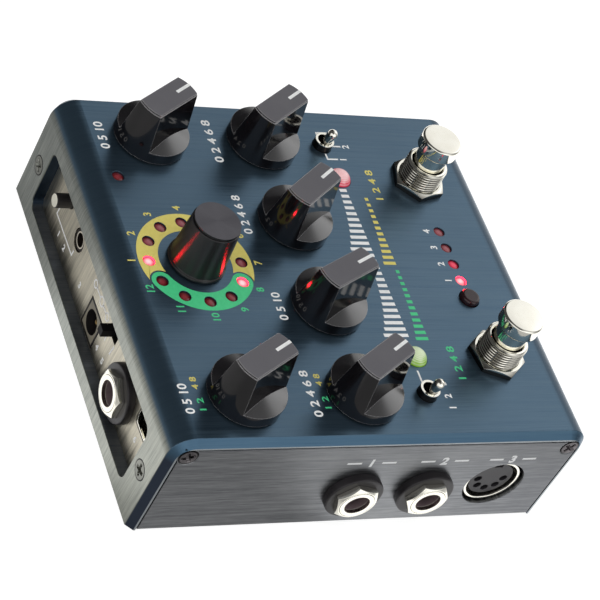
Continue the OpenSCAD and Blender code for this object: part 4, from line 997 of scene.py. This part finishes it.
# wells and key slot painted black as the shade deep in them; the block behind is black as well
insertGrey = masked("socketInsert", shades(34, 33, 37, 42, 40, 44), deepBlack, storedShare, (0.42, 0.6),
                    Specular_IOR_Level=0.4)
meshPiece("roundSocketInserts", joined(*shapes), insertGrey, ("din_bodies",), crease=30,
          share=np.concatenate([insertShare, np.ones(len(blockBody[0]))]))
meshPiece("roundSocketShields", copies(shieldShape(), socketSpots), nickel, ("din_shields",))
print("stage: round sockets")


# screw heads with a cross recess

screw = {
    "head": 2.65, "endHead": 2.42, "slotWidth": 0.42, "slotReach": 1.55, "slotDepth": 0.9, "crown": 0.06,
    "thick": 1.25, "taper": 1.1, "endTurns": (20, 52, 8, 35), "panelTurns": (12, 40),
    "slotSoft": (0.16, 0.4), "shallower": (1.25, 2.2),  # slopes of the recess, and how it rises outwards
}


def crossHead(head, steps=120):
    # polar height field: z = crown (1 - (r/R)^2) - depth inside a cross of two soft-edged bars, less outwards
    size = screw
    spans = ((0, 1.9, 30), (1.96, head - 0.12, 6))  # closer rings over the recess
    r = np.concatenate([np.linspace(*span) for span in spans])[:, None]
    x, y = np.abs(r * np.cos(around(steps))), np.abs(r * np.sin(around(steps)))

    def bar(across, along):
        wide, far = size["slotSoft"]
        return softStep(size["slotWidth"] - across, wide) * softStep(size["slotReach"] - along, far)

    start, reach = size["shallower"]
    cut = np.maximum(bar(x, y), bar(y, x)) * np.clip(start - r / reach, 0, 1)
    z = size["crown"] * (1 - (r / head) ** 2) - size["slotDepth"] * cut
    radius = stacked(steps, r, head - 0.02, head, head - size["taper"], 0)
    level = stacked(steps, z, -0.03, -0.12, -size["thick"], -size["thick"])
    return revolve(radius, level), (radius / head).ravel()


def screwFinish(name, face, rim, rimFrom, rough, soft=0.02):
    # plated head whose outermost ring is painted dark, as the shadow gap round it
    skin = Finish(name, Metallic=1.0)
    edge = skin.spread(skin.share(), rimFrom - soft, rimFrom + soft)
    skin.paint(Base_Color=skin.mix(edge, skin.mix(skin.patchy("screw", rough), *face), rim))
    return skin.material


def screwPiece(name, head, spots, turns, material, node):
    body, share = crossHead(head)
    meshPiece(name, copies(body, spots, turns), material, (node,), crease=40, share=share)


screwDark = screwFinish("screwDark", shades(66, 62, 64, 116, 112, 114), srgb(22, 21, 23), 0.87, (0.16, 0.28))
screwGrey = screwFinish("screwGrey", shades(118, 120, 114, 140, 141, 134), srgb(24, 24, 26), 0.88, (0.3, 0.4))
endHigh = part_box("end_screws")[0].z / mm + screw["head"]
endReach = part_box("end_screws")[1].y / mm - screw["head"]
endSpots = []
for axes, x in ((outLeft, -halfWide), (outRight, halfWide)):
    endSpots += [(axes, (x, y, endHigh)) for y in (endReach, -endReach)]
screwPiece("endScrewHeads", screw["endHead"], endSpots, screw["endTurns"], screwDark, "end_screws")
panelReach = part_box("panel_screws")[1].x / mm - screw["head"]
panelFace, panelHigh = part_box("panel_screws")[1].y / mm, middle("panel_screws")[2]
panelSpots = [(outRear, (x, panelFace, panelHigh)) for x in (-panelReach, panelReach)]
screwPiece("panelScrewHeads", screw["head"], panelSpots, screw["panelTurns"], screwGrey, "panel_screws")
print("stage: screws")


# lights

light = {
    "radius": 1.5, "sink": 0.25, "crown": 0.22, "deep": 2.0, "steps": 40,
    "ring": 12.4, "presetPitch": 5.47,  # radius of the ring, distance in the row of four
}
unlit = (black, black)
redOff = lensFinish("lensOff", shades(136, 52, 58, 84, 8, 14), unlit, 0.0)
pinkOff = lensFinish("lensOffPale", shades(158, 84, 92, 110, 34, 40), unlit, 0.0)
# unlit lens beside the lit one, given brighter colours and a faint glow: painted light
redUnlitGlow = lensFinish("lensUnlitGlow", shades(226, 70, 96, 150, 20, 40), shades(190, 30, 60, 120, 6, 24), 0.35)
redLit = lensFinish("lensLit", shades(150, 70, 76, 120, 14, 24), shades(255, 208, 212, 255, 44, 80), 1.0,
                    cast=(70.0, 1.0, 1.6, 1.0))


def lensShape():
    # short barrel closed by a shallow crown that falls with the square of the radius
    r = np.linspace(light["radius"], 0, 9)
    crown = np.stack([r, -light["sink"] - light["crown"] * (r / light["radius"]) ** 2], -1)
    profile = np.concatenate([[(0, -light["deep"]), (light["radius"], -light["deep"])], crown])
    return lathe(profile, light["steps"]), np.repeat(profile[:, 0] / light["radius"], light["steps"])


lensBody, lensShare = lensShape()


def lensPiece(name, places, material, slot, *stands):
    shape = copies(lensBody, [(upright, (x, y, panelTop)) for x, y in places])
    meshPiece(name, shape, material, stands, crease=40, share=lensShare)


ringMiddle = middle("encoder_knob")[:2]
ringAngle = np.radians(90 - 30 * np.arange(12))  # clockwise from the rear
ringWay = np.stack([np.cos(ringAngle), np.sin(ringAngle)], -1)
ringSpots = ringMiddle + light["ring"] * ringWay
presetSpots = middle("preset_light_on")[:2] + np.arange(4)[:, None] * (light["presetPitch"], 0)
lensPiece("ringLensesPale", ringSpots[1:7], pinkOff, "lens_off")
lensPiece("ringLensesDark", ringSpots[8:], redOff, "lens_off", "ring_lights")
lensPiece("ringLensesLit", ringSpots[[0, 7]], redLit, "lens_lit", "ring_lights_on")
lensPiece("presetLensLit", presetSpots[:1], redLit, "lens_lit", "preset_light_on")
lensPiece("presetLensUnlitGlow", presetSpots[1:2], redUnlitGlow, "lens_off")
lensPiece("presetLenses", presetSpots[2:], pinkOff, "lens_off", "preset_lights")
lensPiece("peakLens", [middle("peak_light")[:2]], redOff, "lens_off", "peak_light")

statusLens = {
    "radius": 3.1, "height": 2.3, "foot": -2.2, "ribs": 26, "ribDepth": 0.05,
    "finish": {"strength": 0.2, "rough": 0.06, "arcs": 52.0},
    "left": ("lensGreenClear", "lens_green"), "right": ("lensPinkClear", "lens_red"),
    "leftLook": (shades(232, 239, 216, 140, 190, 40), shades(150, 168, 130, 110, 170, 30)),  # colours, glow
    "rightLook": (shades(248, 220, 220, 222, 62, 92), shades(200, 150, 150, 220, 30, 60)),
}


def statusShape(steps=156):
    # spherical cap on a collar, drawn in by a cosine wave of ribs that fades towards crown and rim
    size = statusLens
    ball = (size["radius"] ** 2 + size["height"] ** 2) / (2 * size["height"])
    fall = np.linspace(math.asin(min(1.0, size["radius"] / ball)), 0, 16)[:, None]
    share = np.sin(fall) * ball / size["radius"]
    wave = (0.5 - 0.5 * np.cos(size["ribs"] * around(steps))) * np.sin(math.pi * share) ** 2
    cap = share * size["radius"] * (1 - size["ribDepth"] / size["radius"] * wave)
    radius = stacked(steps, 0, size["radius"], size["radius"], cap)
    level = stacked(steps, size["foot"], size["foot"], 0, size["height"] - ball * (1 - np.cos(fall)))
    return revolve(radius, level), (radius / size["radius"]).ravel()


statusBody, statusShare = statusShape()
for side in ("left", "right"):
    name, slot = statusLens[side]
    clear = lensFinish(name, *statusLens[side + "Look"], **statusLens["finish"])
    node = side + "_status_light"
    shape = turned(statusBody, upright, (*middle(node)[:2], panelTop))
    meshPiece(side + "StatusLens", shape, clear, (node,), crease=40, share=statusShare)
print("stage: lights")


# printed marks

topInks = {"white": whiteInk, "yellow": yellowInk, "green": greenInk}
proud = 0.02  # how far print stands out
band = {
    "inner": 9.65, "outer": 15.15, "hole": 1.62, "gap": 0.45, "steps": 24,
    "tip": 0.02,  # how far the points of a hollow end stay inside the edges
    "yellow": range(0, 7), "green": range(7, 12),  # lights in each band
    "yellowEnd": "hollow", "greenEnd": "round",
}


def polar(radius, angle):
    return np.stack([radius * np.cos(angle), radius * np.sin(angle)], -1)


def bandCell(index, head, tail):
    # flat ruled cell round one light: straight lines from its hole to the edge of its share of the ring;
    # head and tail say how the cell ends on either side: straight, round about its own light or hollow
    r0, r1, n = band["inner"], band["outer"], band["steps"]
    half, between = (r1 - r0) / 2, (r0 + r1) / 2
    own, step = ringAngle[index], tau / len(ringAngle)
    centre = polar(light["ring"], own)

    def side(kind, sign):
        # path of one end from the outer to the inner edge
        if kind == "straight":
            return polar(np.linspace(r1, r0, n), np.full(n, own + sign * step / 2))
        if kind == "round":
            return polar(between, own) + polar(half, own + sign * np.linspace(0, math.pi, n))
        other = own + sign * step
        bow = half + band["gap"]
        limit = math.acos(min(1.0, (half - band["tip"]) / bow))
        return polar(between, other) + polar(bow, other - sign * np.linspace(limit, math.pi - limit, n))

    def angleOf(p):
        return own + (np.arctan2(p[1], p[0]) - own + math.pi) % tau - math.pi

    ahead, behind = side(head, -1), side(tail, 1)
    outer = polar(r1, np.linspace(angleOf(behind[0]), angleOf(ahead[0]), n))
    inner = polar(r0, np.linspace(angleOf(ahead[-1]), angleOf(behind[-1]), n))
    edge = np.concatenate([outer, ahead, inner, behind[::-1]])
    flat = np.concatenate([centre + unit(edge - centre) * band["hole"], edge]) + ringMiddle
    verts = np.column_stack([flat, np.full(len(flat), panelTop + proud)])
    return verts, gridFaces(2, len(edge), closed=True)


def upward(shape):
    # faces of a flat sheet ordered so that they look along +Z
    verts, faces = shape
    if isinstance(faces, list):
        faces = np.concatenate(faces)
    a, b, c = verts[faces[:, 0]], verts[faces[:, 1]], verts[faces[:, 2]]
    down = np.cross(b - a, c - a)[:, 2] < 0
    return verts, np.where(down[:, None], faces[:, ::-1], faces)


def printPiece(name, shape, ink):
    meshPiece(name, shape, ink, outward=False)


for colour in ("yellow", "green"):
    lights, ending = band[colour], band[colour + "End"]
    cells = []
    for index in lights:
        head = ending if index == lights[-1] else "straight"
        tail = ending if index == lights[0] else "straight"
        cells.append(bandCell(index, head, tail))
    printPiece("ringBand" + colour.capitalize(), upward(joined(*cells)), topInks[colour])


def numeralShape(text, width, height, heavier=0.022):
    # outline of plain figures, scaled to a width and height about their middle; width 0 keeps their shape
    curve = bpy.data.curves.new("figures", "FONT")
    curve.body = text
    curve.resolution_u = 5
    curve.offset = heavier
    holder = linked("figures", curve)
    mesh = bpy.data.meshes.new_from_object(holder.evaluated_get(bpy.context.evaluated_depsgraph_get()))
    mesh.calc_loop_triangles()
    verts, faces = np.empty(len(mesh.vertices) * 3), np.empty(len(mesh.loop_triangles) * 3, int)
    mesh.vertices.foreach_get("co", verts)
    mesh.loop_triangles.foreach_get("vertices", faces)
    verts = verts.reshape(-1, 3)
    size = np.ptp(verts, axis=0)
    scale = (width / size[0] if width else height / size[1], height / size[1], 1)
    verts = (verts - (verts.max(0) + verts.min(0)) / 2) * scale
    bpy.data.objects.remove(holder)
    bpy.data.curves.remove(curve)
    bpy.data.meshes.remove(mesh)
    return verts, faces.reshape(-1, 3)


def stripShape(points, width):
    # flat ribbon of a width along a bent line, mitred at its corners
    p = np.array(points, float)
    step = unit(np.diff(p, axis=0))
    side = np.stack([-step[:, 1], step[:, 0]], -1)
    before, after = np.concatenate([side[:1], side]), np.concatenate([side, side[-1:]])
    mitre = (before + after) / (1 + (before * after).sum(1))[:, None]
    flat = np.concatenate([p - mitre * width / 2, p + mitre * width / 2])
    return np.column_stack([flat, 0 * flat[:, 0]]), gridFaces(2, len(p))


def decayBars(count, start, end, foot, tall, runs, fill=0.52, least=0.16, fall=2.1):
    # row of upright bars whose height falls off exponentially along each of a few runs, like fading repeats
    i = np.arange(count)
    pitch = (end - start) / count
    x0 = start + i * pitch
    run = (i % (count // runs)) / (count // runs)
    high = tall * (least + (1 - least) * np.exp(-fall * run))
    x = np.stack([x0, x0 + pitch * fill, x0 + pitch * fill, x0], -1)
    y = np.stack([foot + 0 * high, foot + 0 * high, foot + high, foot + high], -1)
    verts = np.stack([x, y, 0 * x], -1).reshape(-1, 3)
    return verts, np.arange(count * 4).reshape(-1, 4)


def ringShape(radius, width=0.46, steps=40):
    # flat ring of a width about a radius
    rows = stacked(steps, radius - width / 2, radius + width / 2)
    return revolve(rows, 0 * rows)


topMarks = {  # figures, place, width or 0, height
    "white": [
        ("0 5 10", 40.5, 48.9, 9.0, 2.5), ("0 2 4 6 8", 40.2, 18.3, 14.4, 2.5),
        ("0 2 4 6 8", 15.6, 18.0, 12.6, 2.4), ("0 5 10", -13.6, 17.4, 8.6, 2.4),
        ("0 2 4 6 8", -40.0, 18.2, 13.6, 2.4), ("0 5 10", -41.0, 51.2, 8.6, 2.4),
        ("1", -4.65, -34.6, 0, 2.0), ("2", 0.82, -34.6, 0, 2.0), ("3", 6.29, -34.6, 0, 2.0),
        ("4", 11.76, -34.6, 0, 2.0), ("1", -44.7, -19.6, 0, 2.0), ("2", -41.2, -19.6, 0, 2.0),
        ("3", -37.4, -19.6, 0, 2.0), ("3", 45.2, -18.6, 0, 2.0), ("2", 40.4, -20.9, 0, 2.0),
        ("1", 35.8, -18.6, 0, 2.0),
    ],
    "yellow": [
        ("4 8", -36.6, 47.8, 3.6, 1.7), ("4 8", -36.0, 14.9, 3.6, 1.7), ("1 2 4 8", 27.3, -24.6, 10.2, 2.2),
    ],
    "green": [
        ("1 2", -42.6, 47.8, 3.6, 1.7), ("1 2", -42.6, 14.9, 3.6, 1.7), ("1 2 4 8", -31.0, -26.0, 10.2, 2.2),
    ],
    "ringRadius": 17.0, "ringSize": 2.1,
    "lines": [  # from the toggles to their figures
        [(43.4, -13.7), (45.0, -13.7), (45.1, -17.0)], [(40.4, -16.9), (40.4, -19.4)],
        [(37.6, -13.9), (35.7, -13.9), (35.8, -17.0)], [(-33.4, -13.9), (-37.5, -13.9)],
    ],
    "lineWidth": 0.5,
}
decay = {  # bars: count, start, end, foot, height, runs
    "white": (26, -23.0, 28.4, -15.6, 7.0, 2),
    "green": (12, -24.0, -0.6, -21.0, 3.6, 1),
    "yellow": (12, 0.2, 23.6, -21.0, 3.6, 1),
}


def onTop(shape, x=0.0, y=0.0):
    # on the top panel, facing up
    return upward(turned(shape, upright, (x, y, panelTop + proud)))


for colour, ink in topInks.items():
    shapes = [onTop(numeralShape(text, width, high), x, y) for text, x, y, width, high in topMarks[colour]]
    for index in band.get(colour, ()):  # numbers outside the ring
        place = ringMiddle + topMarks["ringRadius"] * ringWay[index]
        shapes.append(onTop(numeralShape(str(index + 1), 0, topMarks["ringSize"]), *place))
    shapes.append(onTop(decayBars(*decay[colour])))
    if colour == "white":
        shapes += [onTop(stripShape(points, topMarks["lineWidth"])) for points in topMarks["lines"]]
    printPiece("topPrint" + colour.capitalize(), joined(*shapes), ink)

endMarks = {
    "numbers": (("1", 2.4), ("2", -18.2), ("3", -38.0)),  # with their place along Y
    "height": 24.3, "size": 3.0, "heavier": 0.045, "dash": (2.8, 6.8), "dashWidth": 0.7,
}
rearMarks = {  # places in X and Z
    "numbers": (("1", 30.2, 7.9), ("2", 25.4, 8.0), ("3", 12.0, 9.6), ("4", -6.2, 8.2), ("5", -10.6, 8.3),
                ("6", -36.2, 11.4)),
    "lines": ([(34.8, 12.4), (34.9, 10.2), (21.0, 10.4), (20.9, 12.2)], [(5.1, 17.2), (2.0, 17.2)],
              [(-0.6, 17.2), (-3.2, 17.2)], [(-7.2, 15.8), (-7.6, 12.4)], [(-12.2, 15.8), (-11.8, 12.4)]),
    "rings": ((6.1, 17.2, 1.0), (0.6, 17.2, 1.2), (-4.2, 17.2, 1.0)),  # with their radius
    "size": 2.0, "lineWidth": 0.52,
}


def onRear(shape, x=0.0, z=0.0):
    # on the recessed panel, where local x runs against X
    return turned(shape, outRear, (x, rearFace + proud, z))


shapes = []
near, far = endMarks["dash"]
for sign, axes in ((-1, outLeft), (1, outRight)):
    for text, y in endMarks["numbers"]:
        place = (sign * (halfWide + proud), y, endMarks["height"])
        shapes.append(turned(numeralShape(text, 0, endMarks["size"], endMarks["heavier"]), axes, place))
        for way in (-1, 1):
            dash = stripShape([(way * near, 0), (way * far, 0)], endMarks["dashWidth"])
            shapes.append(turned(dash, axes, place))
for text, x, z in rearMarks["numbers"]:
    shapes.append(onRear(numeralShape(text, 0, rearMarks["size"], endMarks["heavier"]), x, z))
for points in rearMarks["lines"]:
    shapes.append(onRear(stripShape([(-x, z) for x, z in points], rearMarks["lineWidth"])))
shapes += [onRear(ringShape(radius), x, z) for x, z, radius in rearMarks["rings"]]
printPiece("sidePrintWhite", joined(*shapes), whiteInk)
print("stage: print")


# stage, light and camera

studio = {
    "floor": 0.42,  # grey of the floor under the lamps; the rest of its white is its own glow
    "floorGlow": 0.8, "floorGrain": 0.01, "floorScale": 40.0, "floorHalf": 6.0, "floorDrop": 0.0002,
    "flags": ((150.0, 34.0, 16.0), (40.0, 44.0, 16.0)),  # dark sides of the floor in gloss: way, half angles
    "flagShade": 0.76,
    "table": (0.019, 0.036, 1.3, 0.2),  # floor in gloss by distance from the rear and left: from, to, levels
    "cards": (  # what gloss sees: direction, outer and inner half angle, level
        ((0.501, -0.802, 0.326), 47.0, 20.0, 0.96),  # large white card
        ((0.263, -0.786, 0.56), 22.0, 6.0, 0.6),  # its bright middle
        ((-0.70, -0.52, 0.49), 46.0, 20.0, 0.36),  # paler card at the left front
        ((-0.93, -0.2, 0.31), 44.0, 22.0, 1.0),  # low card at the left end
        ((-0.56, 0.77, 0.30), 50.0, 24.0, 1.0),  # low card beside the camera, for the threads
        ((-0.1, -0.45, 0.887), 30.0, 10.0, 0.35),  # weak card overhead
        ((0.9, -0.2, 0.39), 25.0, 10.0, -0.45),  # takes the large card away at its right side
    ),
    "dim": 0.06, "least": 0.02,  # dark rest of the tent that gloss sees, and the darkest it gets
    "fill": 0.46,  # level for matt surfaces
    "lamps": (  # place, aim, width, watts, colour
        ((-0.2, 0.15, 1.15), (0, 0, 0), 0.9, 3.8, (1.0, 0.99, 0.97)),
        ((-0.35, 1.05, 0.45), (0, 0.03, 0.01), 0.7, 3.0, (1.0, 0.97, 0.92)),
        ((-0.9, -0.55, 0.5), (0, 0, 0.01), 0.7, 2.4, (0.98, 0.99, 1.0)),
    ),
}
photoView = {  # camera fitted to the photo, in metres; lens and sensor in millimetres
    "place": (-0.328142, 0.293042, 0.415036), "right": (-0.30712, -0.86924, 0.38743),
    "up": (0.77317, 0.00946, 0.63413), "lens": 141.49, "sensor": 36.0, "clip": (0.01, 50),
}


def floorMesh():
    # level grid just under the base
    along = np.linspace(-studio["floorHalf"], studio["floorHalf"], 9)
    x, y = np.meshgrid(along, along, indexing="ij")
    verts = np.stack([x, y, 0 * x - studio["floorDrop"]], -1).reshape(-1, 3)
    mesh = bpy.data.meshes.new("studioFloor")
    mesh.from_pydata(verts.tolist(), [], gridFaces(9, 9).tolist())
    return mesh


def paleFloor():
    # glows white for the camera; gloss sees it bright near the part and dark beyond, with two flags
    material = bpy.data.materials.new("paleFloor")
    material.use_nodes = True
    graph = Graph(material.node_tree)
    graph.tree.nodes.remove(graph.tree.nodes["Principled BSDF"])
    x, y = graph.axes()[:2]
    way = graph.add("VectorMath", {"operation": "NORMALIZE"}, i0=graph.place()).outputs[0]
    leftOut = graph.spread(x, 0.0, -1.0, -halfWide * mm, 1.0 - halfWide * mm)
    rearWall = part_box("shell")[1].y
    rearOut = graph.spread(y, 0.0, 1.0, -rearWall, 1.0 - rearWall)
    level = graph.spread(graph.most(leftOut, rearOut), *studio["table"], smooth=True)
    for degrees, outer, inner in studio["flags"]:
        aim = (math.cos(math.radians(degrees)), math.sin(math.radians(degrees)), 0)
        level = graph.times(level, graph.cone(way, aim, outer, inner, 1.0, 1.0 - studio["flagShade"]))
    camera, mirror = graph.rays()
    seen = graph.plus(camera, graph.times(mirror, level))
    glow = graph.add("Emission", None, Strength=graph.times(seen, studio["floorGlow"]))
    tones = studio["floor"] - studio["floorGrain"], studio["floor"] + studio["floorGrain"]
    grain = graph.noise(graph.place(), studio["floorScale"])
    matt = graph.add("BsdfDiffuse", None, Color=graph.ramp(grain, *tones))
    both = graph.add("AddShader", None, i0=glow.outputs[0], i1=matt.outputs[0])
    graph.fill(graph.tree.nodes["Material Output"], i0=both.outputs[0])
    return material


def studioFloor():
    mesh = floorMesh()
    floor = linked("studioFloor", mesh)
    mesh.materials.append(paleFloor())


def studioWorld():
    # white for the camera, cards in a dim tent for gloss, an even level for matt surfaces
    world = bpy.data.worlds.new("studioWorld")
    bpy.context.scene.world = world
    world.use_nodes = True
    graph = Graph(world.node_tree)
    ray = graph.add("TexCoord").outputs["Generated"]
    sky = studio["dim"]
    for aim, outer, inner, level in studio["cards"]:
        sky = graph.plus(sky, graph.cone(ray, aim, outer, inner, 0.0, level))
    camera, mirror = graph.rays()
    seen = graph.mixNumbers(mirror, studio["fill"], graph.most(sky, studio["least"]))
    white = graph.mixNumbers(camera, seen, 1.0)
    graph.fill(graph.tree.nodes["Background"], Strength=white, Color=(1, 1, 1, 1))


def aimed(place, aim):
    # axes of a lamp that looks from its place at an aim
    back = unit(np.subtract(place, aim))
    right = unit(np.cross((0, 0, 1), back))
    return right, np.cross(back, right), back


def setMatrix(thing, right, up, back, place):
    matrix = np.eye(4)
    matrix[:3, :4] = np.stack([right, up, back, place], 1)
    thing.matrix_world = Matrix(matrix.tolist())


def studioLamps():
    for number, (place, aim, width, watts, colour) in enumerate(studio["lamps"]):
        data = bpy.data.lights.new("softLamp%d" % number, "AREA")
        data.shape = "DISK"
        data.size = width
        data.energy = watts
        data.color = colour
        lamp = linked(data.name, data)
        lamp.visible_camera = lamp.visible_glossy = False
        setMatrix(lamp, *aimed(place, aim), place)


def photoCamera():
    data = bpy.data.cameras.new("photoCamera")
    data.lens, data.sensor_width = photoView["lens"], photoView["sensor"]
    data.clip_start, data.clip_end = photoView["clip"]
    right = unit(np.array(photoView["right"]))
    back = unit(np.cross(right, photoView["up"]))
    camera = linked("photoCamera", data)
    setMatrix(camera, right, np.cross(back, right), back, photoView["place"])
    bpy.context.scene.camera = camera


studioFloor()
studioWorld()
studioLamps()
photoCamera()
bpy.context.scene.view_settings.view_transform = "Standard"
print("stage: studio")
